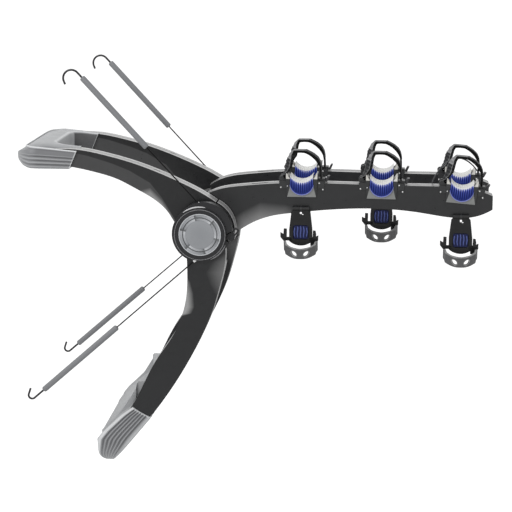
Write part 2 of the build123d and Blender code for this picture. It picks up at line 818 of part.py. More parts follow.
def make_cage(number):
    back = -cage_stand + cage_thickness / 2 - touch_gap
    front = back - cage_thickness
    strap_plane = cage_strap_plane(number)
    with BuildPart() as cage:
        with BuildSketch(cage_plane(number, back)):
            top, hip = -cage_eye_r / 2, -cage_window_top - cage_belly
            left_foot, right_foot = (-cage_foot_half, -cage_length), (cage_foot_half, -cage_length)
            with BuildLine():
                Polyline(left_foot, (-cage_foot_half, hip), (-cage_shoulder_half, -cage_eye_r),
                         (-cage_top_half, top), (cage_top_half, top), (cage_shoulder_half, -cage_eye_r),
                         (cage_foot_half, hip), right_foot)
                ThreePointArc(right_foot, (0, -cage_length - cage_belly), left_foot)
            make_face()
        extrude(amount=cage_thickness)
        with BuildSketch(pin_plane(number, cage_top_half)):
            Circle(cage_eye_r)
        extrude(amount=2 * cage_top_half)
        with BuildSketch(pin_plane(number, cage_lug / 2 + touch_gap)):
            Rectangle(2 * cage_stand, 4 * cage_eye_r)
        extrude(amount=cage_lug + 2 * touch_gap, mode=Mode.SUBTRACT)
        with BuildSketch(pin_plane(number, cage_top_half + overrun)):
            Circle(cage_pin_r + run_gap)
        extrude(amount=2 * (cage_top_half + overrun), mode=Mode.SUBTRACT)
        with BuildSketch(cage_plane(number, front + cage_window_depth)):
            with Locations((0, -cage_window_top - cage_window_height / 2)):
                RectangleRounded(2 * cage_window_half, cage_window_height, cage_eye_r)
        extrude(amount=cage_thickness, mode=Mode.SUBTRACT)
        with BuildSketch(cage_plane(number, back + overrun)):
            with Locations((cage_lug, -cage_vent_drop)):
                Circle(cage_vent_r)
        extrude(amount=cage_thickness + 2 * overrun, mode=Mode.SUBTRACT)
        for end in (-1, 1):
            with BuildSketch(strap_plane.offset(cage_strap_height / 2 + touch_gap)):
                with Locations((end * (tab_inner + tab_outer) / 2, 0)):
                    Rectangle(tab_outer - tab_inner, 2 * tab_half)
            extrude(amount=tab_height)
        pin_x = -cage_strap_r + cage_strap_thickness / 2
        with BuildSketch(strap_plane.offset(-cage_strap_height / 2)):
            with Locations((pin_x, 0)):
                Circle(cage_strap_pin_r)
        extrude(amount=cage_strap_height + tab_height)
        with BuildSketch(strap_plane):
            stop = cage_strap_r - cage_strap_thickness - touch_gap
            with Locations(((stop + cage_foot_half) / 2 - overrun, 0)):
                Rectangle(stop - cage_foot_half + 2 * overrun, 2 * tab_half)
        extrude(amount=cage_strap_height / 2 + tab_height)
    return cage.part


def make_cage_pad(number):
    front = -cage_stand - cage_thickness / 2 - touch_gap
    with BuildPart() as pad:
        with BuildSketch(cage_plane(number, front + cage_window_depth)):
            with Locations((0, -cage_window_top - cage_window_height / 2)):
                RectangleRounded(2 * cage_window_half, cage_window_height, cage_eye_r)
        extrude(amount=cage_window_depth / 2)
        with BuildSketch(cage_plane(number, front + cage_window_depth / 2)):
            with Locations((0, -cage_window_top - cage_window_height / 2)):
                with GridLocations(2 * cage_window_half / cage_rib_count, 0, cage_rib_count, 1):
                    Rectangle(cage_window_half / cage_rib_count, cage_window_height - cage_eye_r)
        extrude(amount=cage_window_depth / 2)
    return pad.part


def make_cage_strap(number):
    plane = cage_strap_plane(number)
    pin_x = -cage_strap_r + cage_strap_thickness / 2
    with BuildPart() as strap:
        with BuildSketch(plane.offset(-cage_strap_height / 2)):
            Circle(cage_strap_r)
            Circle(cage_strap_r - cage_strap_thickness, mode=Mode.SUBTRACT)
            with Locations((0, -cage_strap_r / 2)):
                Rectangle(2 * cage_strap_r, cage_strap_r, mode=Mode.INTERSECT)
            with Locations((pin_x, 0)):
                Circle(2 * cage_strap_pin_r)
                Circle(cage_strap_pin_r + run_gap, mode=Mode.SUBTRACT)
        extrude(amount=cage_strap_height)
        across_band = Plane(origin=plane.origin, x_dir=(1, 0, 0), z_dir=-plane.y_dir)
        with BuildSketch(across_band):
            with GridLocations(cage_hole_spread, 0, 2, 1):
                Circle(cage_hole_r)
        extrude(amount=2 * cage_strap_r, mode=Mode.SUBTRACT)
    return strap.part


# Hook cables: a steel cable, its protective sleeve and a bent wire hook, drawn along each cable.
cable_shapes = {
    "upper": (upper_sleeve_start, upper_sleeve_end, upper_hook_run,
              upper_hook_r, upper_hook_turn, upper_hook_tip),
    "lower": (lower_sleeve_start, lower_sleeve_end, lower_hook_run,
              lower_hook_r, lower_hook_turn, lower_hook_tip),
}


def make_cable(plane, sleeve_end):
    with BuildPart() as cable:
        with BuildSketch(across(plane, 0)):
            Circle(cable_r)
        extrude(amount=sleeve_end - hook_seat)
    return cable.part


def make_sleeve(plane, sleeve_start, sleeve_end):
    with BuildPart() as sleeve:
        with BuildSketch(across(plane, sleeve_start)):
            Circle(sleeve_r)
            Circle(hook_wire_r + run_gap, mode=Mode.SUBTRACT)
        extrude(amount=sleeve_end - sleeve_start)
    return sleeve.part


def make_hook(plane, sleeve_end, run, bend_r, turn, tip):
    with BuildPart() as hook:
        with BuildLine(plane) as path:
            Line((sleeve_end - hook_seat, 0), (sleeve_end + run, 0))
            bend = JernArc((sleeve_end + run, 0), (1, 0), bend_r, turn)
            Line(bend @ 1, bend @ 1 + (bend % 1) * tip)
        with BuildSketch(across(plane, sleeve_end - hook_seat)):
            Circle(hook_wire_r)
        sweep()
    return hook.part


# Tie strap: a thin plain band that arches over the last station from the inner face of the left arm.
def tie_curve(inset_by):
    """Points of the tie strap's arch, inset from its outer face."""
    left, right, rise = tie_left + inset_by, tie_right - inset_by, tie_rise - inset_by
    bends = [(side * a, rise * b) for side, (a, b) in zip((left, right), tie_bend_shares)]
    return [(left, tie_end), bends[0], (tie_top_x, rise), bends[1], (right, tie_end)]


def make_tie_strap():
    outer = arm_inner - touch_gap
    outside, inside = tie_curve(0), tie_curve(tie_thickness)
    with BuildPart() as tie:
        with BuildSketch(station_plane(-1, outer - tie_width, outer, len(station_x) - 1)):
            with BuildLine():
                Spline(*outside)
                Line(outside[-1], inside[-1])
                Spline(*inside)
                Line(inside[0], outside[0])
            make_face()
        extrude(amount=tie_width)
    return tie.part


finish(make_upper_frame(True), "upper_frame")
finish(make_lower_frame(True), "lower_frame")
finish(make_upper_pad(make_upper_frame(False)), "upper_pad")
finish(make_lower_pad(make_lower_frame(False)), "lower_pad")
finish(make_axle(), "hub_axle")
finish(make_nuts(), "axle_nuts")
finish(make_guides(), "cable_guides")
finish(make_cross_tube(), "cross_tube")
for word, side in sides.items():
    finish(make_housing(side), f"{word}_housing")
    finish(make_ring(side), f"{word}_hub_ring")
    finish(make_dial(side), f"{word}_dial")
    finish(make_spool(side), f"{word}_spool")
    finish(make_lock(side), f"{word}_lock")
    finish(make_arm(side, True), f"{word}_arm")
    finish(make_bases(side, make_arm(side, False)), f"{word}_cradle_bases")
    finish(make_inserts(side), f"{word}_cradle_inserts")
    for number in range(len(station_x)):
        finish(make_strap(side, number), f"{word}_strap_{number + 1}")
        finish(make_lever(side, number), f"{word}_lever_{number + 1}")
finish(make_cage_brackets(), "cage_brackets")
finish(make_tie_strap(), "tie_strap")
for number in range(len(cage_faces)):
    finish(make_cage(number), f"cage_{number + 1}")
    finish(make_cage_pad(number), f"cage_pad_{number + 1}")
    finish(make_cage_strap(number), f"cage_strap_{number + 1}")
for word, side in sides.items():
    for level, (exit_point, aim) in cable_runs.items():
        plane = cable_plane(side, exit_point, aim)
        sleeve_start, sleeve_end, run, bend_r, turn, tip = cable_shapes[level]
        finish(make_cable(plane, sleeve_end), f"{word}_{level}_cable")
        finish(make_sleeve(plane, sleeve_start, sleeve_end), f"{word}_{level}_sleeve")
        finish(make_hook(plane, sleeve_end, run, bend_r, turn, tip), f"{word}_{level}_hook")
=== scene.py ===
from math import cos, pi, radians, sin, sqrt

import bmesh
import bpy
from mathutils import Matrix, Vector


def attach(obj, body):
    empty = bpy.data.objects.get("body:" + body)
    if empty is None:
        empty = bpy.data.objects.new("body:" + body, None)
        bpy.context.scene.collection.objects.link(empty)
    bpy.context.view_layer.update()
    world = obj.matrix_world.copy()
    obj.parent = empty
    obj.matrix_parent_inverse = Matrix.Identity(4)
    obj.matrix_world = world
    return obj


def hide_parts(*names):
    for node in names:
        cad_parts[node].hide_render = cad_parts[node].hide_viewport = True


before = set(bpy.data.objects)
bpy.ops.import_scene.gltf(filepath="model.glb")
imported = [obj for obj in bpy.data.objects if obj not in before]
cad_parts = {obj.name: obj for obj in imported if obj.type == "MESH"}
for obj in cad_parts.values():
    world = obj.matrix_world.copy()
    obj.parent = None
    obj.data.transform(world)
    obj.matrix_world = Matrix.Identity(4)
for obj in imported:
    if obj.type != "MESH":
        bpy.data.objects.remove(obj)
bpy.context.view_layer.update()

# Camera: a long lens, seen from the rack's left, a little from the rear and from above.
# The side view sizes of all sections are counted from the hub axis.
def placed(name, data):
    """New object of some data, put in the scene."""
    thing = bpy.data.objects.new(name, data)
    bpy.context.collection.objects.link(thing)
    return thing


hub = Vector((0.236, 0, 0.490))
camera = placed("camera", bpy.data.cameras.new("camera"))
camera.data.lens = 121.5
camera.data.sensor_width = 36
camera.location = hub + Vector((0.42931, -3.86665, 0.69958))
camera.rotation_euler = (radians(78.582), 0, radians(4.767))
bpy.context.scene.camera = camera


# Studio: a pale floor far below the rack, as a car carries it, a white surround and three soft lamps.
# The floor glows a little, so that it is white where it is lit and still takes a shadow.
def node_of(owner, kind, inputs, out=0, **settings):
    """Add a node to a tree or finish, its inputs set or linked, and give one of its outputs."""
    tree = getattr(owner, "node_tree", owner)
    node = tree.nodes.new(kind if "Node" in kind else f"ShaderNode{kind}")
    for name, value in settings.items():
        setattr(node, name, value)
    for name, value in inputs.items():
        if isinstance(value, bpy.types.NodeSocket):
            tree.links.new(value, node.inputs[name])
        else:
            node.inputs[name].default_value = value
    return node.outputs[out]


reach, drop = 60, -1.1
corners = [(-reach, -reach, drop), (reach, -reach, drop), (reach, reach, drop), (-reach, reach, drop)]
floor_mesh = bpy.data.meshes.new("floor")
floor_mesh.from_pydata(corners, [], [(0, 1, 2, 3)])
floor = placed("floor", floor_mesh)
pale_floor = bpy.data.materials.new("pale_floor")
pale_floor.use_nodes = True
tree = pale_floor.node_tree
base = tree.nodes["Principled BSDF"]
base.inputs["Base Color"].default_value = (0.9, 0.9, 0.9, 1)
base.inputs["Roughness"].default_value = 1
dark, glow = [node_of(tree, "Emission", {"Strength": strength}) for strength in (0, 0.55)]
seen = node_of(tree, "LightPath", {}, "Is Camera Ray")
shown = node_of(tree, "MixShader", {0: seen, 1: dark, 2: glow})
both = node_of(tree, "AddShader", {0: base.outputs[0], 1: shown})
tree.links.new(both, tree.nodes["Material Output"].inputs["Surface"])
floor_mesh.materials.append(pale_floor)

world = bpy.data.worlds.new("studio")
bpy.context.scene.world = world
world.use_nodes = True
tree = world.node_tree
rays = [node_of(tree, "LightPath", {}, f"Is {kind} Ray") for kind in ("Camera", "Glossy", "Transmission")]
either = node_of(tree, "Math", {0: rays[0], 1: rays[1]}, operation="MAXIMUM")
through = node_of(tree, "Math", {0: either, 1: rays[2]}, operation="MAXIMUM")
background = tree.nodes["Background"].inputs
background["Color"].default_value = (1, 1, 1, 1)
strength = node_of(tree, "MapRange", {"Value": through, "To Min": 0.6, "To Max": 1})
tree.links.new(strength, background["Strength"])

for lamp_name, place, size, power in (
        ("key_lamp", (-1.6, -2.4, 2.4), 1.2, 60), ("fill_lamp", (2.6, -2.8, 0.4), 1.6, 12),
        ("back_lamp", (0.3, 3.2, 1.3), 2.2, 40)):
    lamp = placed(lamp_name, bpy.data.lights.new(lamp_name, "AREA"))
    lamp.data.energy = power
    lamp.data.size = size
    lamp.visible_camera = False
    lamp.visible_glossy = lamp_name != "back_lamp"
    lamp.location = hub + Vector(place)
    lamp.rotation_euler = (-Vector(place)).to_track_quat("-Z", "Y").to_euler()
bpy.context.scene.view_settings.view_transform = "Standard"


# Hook cables: black coated steel, 3 mm thick and taut, two up and two down on each side.
# Each leaves its hub through a bright ferrule and ends in the shank of its hook, inside the sleeve.
def coated(name, colour, rough, grain=0.15, grain_size=0.0007, blotch=0.08, metal=0, shine=0.5):
    """Moulded or coated finish: fine grain, a soft drift of tone and patches of more and less gloss."""
    mat = bpy.data.materials.new(name)
    mat.use_nodes = True
    tree = mat.node_tree
    shader = tree.nodes["Principled BSDF"].inputs
    shader["Metallic"].default_value = metal
    shader["Specular IOR Level"].default_value = shine
    place = node_of(tree, "TexCoord", {}, "Object")
    drift, wear_and_sheen, fine = [node_of(tree, "TexNoise", {"Vector": place, "Scale": scale, "Detail": detail})
                         for scale, detail in ((16, 4), (70, 5), (1 / grain_size, 2))]
    deep, light = [[min(1, level * share) for level in colour] + [1] for share in (1 - blotch, 1 + blotch)]
    tone = node_of(tree, "Mix", {"Factor": drift, "A": deep, "B": light}, "Result", data_type="RGBA")
    polish = node_of(tree, "MapRange", {"Value": wear_and_sheen, "From Min": 0.3, "From Max": 0.7,
                                        "To Min": rough * 0.85, "To Max": min(1, rough * 1.18)})
    bump = node_of(tree, "Bump", {"Height": fine, "Strength": grain, "Distance": grain_size * 0.4})
    for socket, value in (("Base Color", tone), ("Roughness", polish), ("Normal", bump)):
        tree.links.new(value, shader[socket])
    return mat


side_signs = {"left": -1, "right": 1}
cable_coat = coated("cable_coat", (0.003, 0.003, 0.0034), 0.6, grain=0.3, shine=0.15)
ferrule_steel = coated("ferrule_steel", (0.8, 0.8, 0.8), 0.22, grain=0.05, metal=1)
cable_radius = 0.0015
hook_seat = 0.026
# Of each cable: its exit from the hub axis, its direction, and how far along its sleeve starts and ends.
cable_runs = {
    "upper": ((-0.005, 0.182, 0.069), (-0.139, 0.002, 0.151), 0.163, 0.368),
    "lower": ((-0.014, 0.191, -0.060), (-0.335, 0.018, -0.293), 0.226, 0.446),
}


def dress(node, mat):
    """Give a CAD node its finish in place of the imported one."""
    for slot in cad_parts[node].material_slots:
        slot.link = "OBJECT"
        slot.material = mat


def cable_line(word, level):
    """Exit point and direction of one cable, in the rack's frame."""
    mirror = Vector((1, side_signs[word], 1))
    leave, aim = [Vector(part) * mirror for part in cable_runs[level][:2]]
    return hub + leave, aim.normalized()


for word in side_signs:
    for level in cable_runs:
        start, along = cable_line(word, level)
        length = cable_runs[level][3] - hook_seat
        curve = bpy.data.curves.new(f"{word}_{level}_cable_line", "CURVE")
        curve.dimensions = "3D"
        curve.bevel_depth = cable_radius
        curve.bevel_resolution = 3
        curve.use_fill_caps = True
        spline = curve.splines.new("NURBS")
        spline.points.add(2)
        for point, share in zip(spline.points, (0, 0.5, 1)):
            point.co = (*(start + along * length * share), 1)
        spline.order_u = 3
        spline.use_endpoint_u = True
        curve.materials.append(cable_coat)
        cable = placed(f"{word}_{level}_taut_cable", curve)
        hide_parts(f"{word}_{level}_cable")
        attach(cable, f"{word}_{level}_line")
dress("cable_guides", ferrule_steel)


# Sleeves: a grey rubber tube over the outer half of each cable, with rounded ends.
# Hooks: black coated steel wire, bent to grip a panel edge, with its shank pressed into the sleeve.
def skinned(rows, tones=None, ring=True, loop=False, sharp=40, merge=0.00001):
    """Mesh over rows of points: ring closes each row, loop joins the last row to the first."""
    shape = bmesh.new()
    layer = shape.verts.layers.float.new("tone")
    lines = []
    for i, row in enumerate(rows):
        line = [shape.verts.new(point) for point in row]
        for j, vert in enumerate(line):
            vert[layer] = tones[i][j] if tones else 0
        lines.append(line)
    width = len(rows[0])
    for near, far in zip(lines, lines[1:] + (lines[:1] if loop else [])):
        for j in range(width if ring else width - 1):
            shape.faces.new((near[j], near[(j + 1) % width], far[(j + 1) % width], far[j]))
    if ring and not loop:
        shape.faces.new(lines[0])
        shape.faces.new(lines[-1][::-1])
    bmesh.ops.remove_doubles(shape, verts=shape.verts, dist=merge)
    bmesh.ops.recalc_face_normals(shape, faces=shape.faces)
    mesh = bpy.data.meshes.new("skin")
    shape.to_mesh(mesh)
    shape.free()
    mesh.shade_smooth()
    mesh.set_sharp_from_angle(angle=radians(sharp))
    return mesh


def turned(profile, start, along, steps=28):
    """Mesh turned about a line: profile holds (distance along, radius) pairs."""
    square = along.orthogonal().normalized()
    spokes = [Matrix.Rotation(2 * pi * i / steps, 3, along) @ square for i in range(steps)]
    return skinned([[start + along * distance + spoke * radius for spoke in spokes]
                    for distance, radius in profile])


def piece_of(name, mesh, mat, body, slot, *nodes):
    """Link a mesh as a piece that rides on a body and stands for some CAD nodes."""
    piece = placed(name, mesh)
    mesh.name = name
    mesh.materials.clear()
    mesh.materials.append(mat)
    if nodes:
        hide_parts(*nodes)
    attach(piece, body)
    return piece


sleeve_rubber = coated("sleeve_rubber", (0.2, 0.205, 0.215), 0.55, grain=0.3, grain_size=0.001)
hook_coat = coated("hook_coat", (0.014, 0.014, 0.016), 0.28, grain=0.1)
# Rounded end of a sleeve: how far from the end, and the radius there.
sleeve_round = ((0, 0.0025), (0, 0.0048), (0.0012, 0.006), (0.003, 0.0065))
for word in side_signs:
    for level, (leave, aim, sleeve_start, sleeve_end) in cable_runs.items():
        start, along = cable_line(word, level)
        inset, sleeve_radius = sleeve_round[-1]
        straight = sleeve_end - sleeve_start - 2 * inset
        profile = [(sleeve_start + at, radius) for at, radius in sleeve_round]
        profile += [(sleeve_start + inset + share * straight, sleeve_radius) for share in (0.25, 0.5, 0.75)]
        profile += [(sleeve_end - at, radius) for at, radius in sleeve_round[::-1]]
        sleeve = piece_of(f"{word}_{level}_grip_sleeve", turned(profile, start, along),
                          sleeve_rubber, f"{word}_{level}_line", "sleeve", f"{word}_{level}_sleeve")
        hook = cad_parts[f"{word}_{level}_hook"]
        dress(hook.name, hook_coat)


# Frames: two U-shaped hollow mouldings in charcoal glass-filled nylon, with eased edges.
# Painted highlight stripes follow their edges, and painted light makes the zones past their creases paler.
# The upper one's square ends are rounded, so that they stay inside its pad.
def softened(mesh, width, segments):
    """Loose piece with its outer edges rounded."""
    piece = placed("loose", mesh)
    bevel = piece.modifiers.new("eased_edges", "BEVEL")
    bevel.width = width
    bevel.segments = segments
    bevel.limit_method = "ANGLE"
    bevel.angle_limit = radians(32)
    bevel.miter_outer = "MITER_ARC"
    level = piece.modifiers.new("level_faces", "WEIGHTED_NORMAL")
    level.keep_sharp = True
    mesh.shade_smooth()
    return piece


def eased(node, width, segments=3):
    """Copy of a CAD solid with its outer edges rounded."""
    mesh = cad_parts[node].data.copy()
    shape = bmesh.new()
    shape.from_mesh(mesh)
    bmesh.ops.remove_doubles(shape, verts=shape.verts, dist=0.00002)
    bmesh.ops.dissolve_limit(shape, angle_limit=radians(0.6), verts=shape.verts, edges=shape.edges)
    shape.to_mesh(mesh)
    shape.free()
    return softened(mesh, width, segments)


def baked(piece):
    """The piece's mesh with its modifiers applied, and the piece removed."""
    depsgraph = bpy.context.evaluated_depsgraph_get()
    mesh = bpy.data.meshes.new_from_object(piece.evaluated_get(depsgraph), depsgraph=depsgraph)
    bpy.data.objects.remove(piece)
    return mesh


def recast(name, node, width, mat, body, slot, segments=3):
    """Piece in place of a CAD solid: the same shape with its outer edges rounded."""
    return piece_of(name, baked(eased(node, width, segments)), mat, body, slot, node)


def overlaid(mat, share, colour, blend="MIX"):
    """Lay a colour over the finish by a share. Either may be a socket that works it out."""
    base = mat.node_tree.nodes["Principled BSDF"].inputs["Base Color"]
    under = base.links[0].from_socket
    over = node_of(mat, "Mix", {"Factor": share, "A": under, "B": colour}, "Result", data_type="RGBA",
                   blend_type=blend)
    mat.node_tree.links.new(over, base)


def ramped(mat, value, stops):
    """Colour of a ramp at a value. Its stops are (place, colour) pairs."""
    ramp = node_of(mat, "ValToRGB", {"Fac": value})
    shades = ramp.node.color_ramp.elements
    for number, (at, colour) in enumerate(stops):
        shade = shades[number] if number < 2 else shades.new(at)
        shade.position = at
        shade.color = (*colour, 1)
    return ramp


def object_axis(mat, axis):
    """Socket of one axis of the finish's own place on the object."""
    place = node_of(mat, "TexCoord", {}, "Object")
    return node_of(mat, "SeparateXYZ", {"Vector": place}, axis)


def spanned(mat, value, low, high):
    """Socket that runs from 0 to 1 as a value goes from low to high."""
    return node_of(mat, "MapRange", {"Value": value, "From Min": low, "From Max": high})


def highlight_stripes(mat, inner, outer, stops, grey):
    """Painted highlight stripes along a member's edges, laid out by the distance from the rack's middle."""
    out = node_of(mat, "Math", {0: object_axis(mat, "Y")}, operation="ABSOLUTE")
    levels = [(at, (level, level, level)) for at, level in stops]
    overlaid(mat, ramped(mat, spanned(mat, out, inner, outer), levels), (grey, grey, grey, 1))


def painted_light_zone(mat, across, up, edge, soft, most, colour):
    """Painted light on the zone past a moulded crease, given by (across, up) points in millimetres from the
    hub axis.
    """
    centre = {"X": hub.x, "Z": hub.z}
    low, high = edge[0][0], edge[-1][0]
    base, top = min(point[1] for point in edge), max(point[1] for point in edge)
    along = spanned(mat, object_axis(mat, across), centre[across] + 0.001 * low,
                    centre[across] + 0.001 * high)
    line = node_of(mat, "FloatCurve", {"Value": along})
    points = line.node.mapping.curves[0].points
    spots = [((a - low) / (high - low), (b - base) / (top - base)) for a, b in edge]
    points[0].location = spots[0]
    for spot in spots[1:-1]:
        points.new(*spot)
    points[-1].location = spots[-1]
    for point in points:
        point.handle_type = "VECTOR"
    line.node.mapping.update()
    height = node_of(mat, "MapRange", {"Value": line, "To Min": centre[up] + 0.001 * base,
                                       "To Max": centre[up] + 0.001 * top})
    past = node_of(mat, "Math", {0: height, 1: object_axis(mat, up)}, operation="SUBTRACT")
    share = node_of(mat, "Math", {0: spanned(mat, past, 0, 0.001 * soft), 1: most}, operation="MULTIPLY")
    overlaid(mat, share, (*colour, 1))


def rounded_end(piece, x, y, radius):
    """Cut the square ends of a U-shaped frame back to the round of the pad that covers them."""
    shape = bmesh.new()
    shape.from_mesh(piece.data)
    for side in (-1, 1):
        for turn in (20, 45, 70):
            out = Vector((-sin(radians(turn)), side * cos(radians(turn)), 0))
            cut = bmesh.ops.bisect_plane(
                shape, geom=[*shape.faces, *shape.edges, *shape.verts], dist=0.00001,
                plane_co=hub + Vector((x, side * y, 0)) + out * radius, plane_no=out, clear_outer=True)
            rims = [part for part in cut["geom_cut"] if isinstance(part, bmesh.types.BMEdge)]
            bmesh.ops.triangle_fill(shape, edges=rims, use_beauty=True)
    bmesh.ops.dissolve_limit(shape, angle_limit=radians(0.6), verts=shape.verts, edges=shape.edges)
    bmesh.ops.recalc_face_normals(shape, faces=shape.faces)
    shape.to_mesh(piece.data)
    shape.free()
    return piece


moulded = {"grain": 0.12, "grain_size": 0.0008}
upper_charcoal = coated("upper_charcoal", (0.009, 0.0093, 0.01), 0.32, **moulded)
# Painted light on the zones past the upper legs' creases, and painted highlight stripes along their edges.
painted_light_zone(upper_charcoal, "X", "Z", ((-300, 176), (-250, 166), (-197, 150), (-159, 135), (-113, 108), (-87, 75),
                                 (-66, 40), (-50, 10)), 1.5, 0.9, (0.05, 0.05, 0.051))
painted_light_zone(upper_charcoal, "X", "Z", ((-170, 80), (-128, 93), (-113, 97), (-87, 71), (-66, 39), (-50, 10)),
      12, 0.8, (0.3, 0.3, 0.3))
highlight_stripes(upper_charcoal, 0.113, 0.157, ((0, 0), (1, 0), (0.03, 0), (0.1, 1), (0.2, 0.9), (0.26, 0.35),
                                       (0.78, 0.5), (0.84, 0.9), (0.93, 0.8), (0.96, 0)), 0.62)
lower_charcoal = coated("lower_charcoal", (0.011, 0.0114, 0.0125), 0.32, **moulded)
# Painted light on two zones of the lower legs, and painted highlight stripes along their edges.
painted_light_zone(lower_charcoal, "Z", "X", ((-550, -450), (-240, -160), (-190, -60), (-178, -20), (-163, -13.5),
                                 (-133, -15.5), (-107, -22), (-88, -33), (-60, -50)),
      15, 0.8, (0.4, 0.4, 0.4))
painted_light_zone(lower_charcoal, "Z", "X", ((-300, 100), (-150, 40), (-110, 20), (-85, 12), (-60, 26), (-35, 60)),
      -35, 0.5, (0.25, 0.25, 0.25))
highlight_stripes(lower_charcoal, 0.133, 0.187, ((0, 0), (1, 0), (0.03, 0), (0.08, 0.8), (0.16, 0.8), (0.22, 0.3),
                                       (0.8, 0.3), (0.86, 0.9), (0.95, 0.9), (0.975, 0)), 0.5)
leg_edge = 0.004
upper_legs = rounded_end(eased("upper_frame", leg_edge), x=-0.362, y=0.111, radius=0.045)
piece_of("upper_legs", baked(upper_legs), upper_charcoal, "upper_frame", "frame", "upper_frame")
recast("lower_legs", "lower_frame", leg_edge, lower_charcoal, "lower_frame", "frame")


# Pads: grey rubber sheaths pushed over both frame ends, ribbed along their outer sides.
# The upper one's nose slopes, and a bead painted bright as a highlight runs between its ribs and its smooth
# plate.
def toned(name, stops, rough, **finish):
    """Finish whose colour runs over a ramp, along the tone that each mesh carries. The tones paint light and
    shade.
    """
    mat = coated(name, (1, 1, 1), rough, **finish)
    tone = node_of(mat, "Attribute", {}, "Fac", attribute_name="tone")
    overlaid(mat, 1, ramped(mat, tone, stops), "MULTIPLY")
    return mat


def at_hub(x, y, z):
    """Point given in millimetres from the middle of the hub axis."""
    return hub + 0.001 * Vector((x, y, z))


def between(table, at):
    """Value read off a table of (place, value) pairs."""
    if at <= table[0][0]:
        return table[0][1]
    for (a, low), (b, high) in zip(table, table[1:]):
        if at <= b:
            return low + (high - low) * (at - a) / (b - a)
    return table[-1][1]


def sheath(place, starts, tips, radii, halves, low, high, section, inner, set_back):
    """U-shaped loft of legs, corners and a bar. Its section runs from the inner to the outer wall."""
    walls = list(zip(tips, radii, halves))
    # Stations of one half: share of the leg, both walls' places, outward way and share of the ribs.
    plan = [(share, [(tip + radius, -half) for tip, radius, half in walls], (0, -1), 1)
            for share in [0, 0.035, 0.05] + [i / 12 for i in range(1, 12)]]
    for i in range(17):
        angle = pi / 2 * i / 16
        ends = [(tip + radius - radius * sin(angle), radius - half - radius * cos(angle))
                for tip, radius, half in walls]
        plan.append((1, ends, (-sin(angle), -cos(angle)), max(0, 1 - i / 12)))
    for i in range(1, 9):
        plan.append((1, [(tip, (radius - half) * (1 - i / 8)) for tip, radius, half in walls], (-1, 0), 0))
    plan += [(share, [(x, -y) for x, y in ends], (out[0], -out[1]), ribbed)
             for share, ends, out, ribbed in plan[-2::-1]]
    rows, tones = [], []
    for share, ends, out, ribbed in plan:
        row, tone = [], []
        for across, height, shade, *groove in section:
            start = starts[0] + (starts[1] - starts[0]) * height
            near, far = [(start + (x - start) * share, y) for x, y in ends]
            if height > 0.8:
                across -= set_back * max(0, -out[0]) * max(0, 2 * across - 1)
            proud = ribbed * sum(groove)
            along = near[0] + (far[0] - near[0]) * across + out[0] * proud
            aside = near[1] + (far[1] - near[1]) * across + out[1] * proud
            under = between(low, along)
            row.append(at_hub(*place(along, aside, under + (between(high, along) - under) * height)))
            # The ribs' painted shade and highlights fade out towards the nose, and the open ends take the
            # brightest tone.
            if share == 0:
                shade = 1
            elif across == 0 and ribbed > 0.2:
                shade = inner
            elif 0.12 <= shade <= 0.85:
                shade += (0.68 - shade) * (1 - ribbed)
            tone.append(shade)
        rows.append(row)
        tones.append(tone)
    return skinned(rows, tones, sharp=50, merge=0.00005)


def shaded(section, shade):
    """Give the same tone to every point of a part of the section."""
    return [(*point, shade) for point in section]


def ribs_between(low, high, count, fine):
    """Rounded grooves side by side on the outer wall, with painted shade at their bottoms and painted
    highlights between.
    """
    dips = [0.5 - 0.5 * cos(2 * pi * count * i / fine) for i in range(fine + 1)]
    return [(1, low + (high - low) * i / fine, 0.6 - 0.42 * dip, -groove_depth * dip)
            for i, dip in enumerate(dips)]


pad_rubber = toned("pad_rubber", ((0, (0.05, 0.05, 0.052)), (1, (0.72, 0.73, 0.74)),
                                  (0.3, (0.17, 0.172, 0.18)), (0.5, (0.26, 0.265, 0.275)),
                                  (0.75, (0.46, 0.47, 0.48))), 0.5, grain=0.4, grain_size=0.0012, blotch=0.12)
groove_depth = 2.4
# Parts of the upper section, as (share across the wall, share of the height, tone) points.
# The tones paint light and shade: highlights on the bead and the top's inner edge, shade in the line inside
# the bead.
bottom = shaded([(0.04, 0.03), (0.12, 0), (0.4, 0), (0.7, 0), (0.92, 0), (0.98, 0.02), (1, 0.07)], 0.5)
wall = shaded([(1, 0.6), (1, 0.75)], 0.36) + [(1, 0.82, 0.25)]
bead = [(0.997, 0.86, 0.9), (0.98, 0.9, 1), (0.955, 0.9, 1), (0.94, 0.87, 0.9)]
plate = [(0.935, 0.82, 0.1), (0.915, 0.82, 0.1), (0.9, 0.85, 0.4), (0.6, 0.93, 0.52), (0.3, 0.97, 0.62),
         (0.1, 1, 0.75), (0.03, 0.98, 1), (0, 0.9, 0.6), (0, 0.5, 0.4), (0, 0.1, 0.4)]
upper_sheath = sheath(
    lambda along, aside, rise: (along, aside, rise), starts=(-291, -272), tips=(-333, -414),
    radii=(36, 52), halves=(107, 163),
    low=[(-414, 158), (-408, 150), (-396, 141), (-382, 136), (-294, 136)],
    high=[(-414, 162), (-411, 176), (-402, 185), (-388, 190), (-360, 190), (-278, 181)],
    section=bottom + ribs_between(0.08, 0.58, 3, 36) + wall + bead + plate, inner=0.05, set_back=0.2)
piece_of("upper_pad_sheath", upper_sheath, pad_rubber, "upper_frame", "pad", "upper_pad")

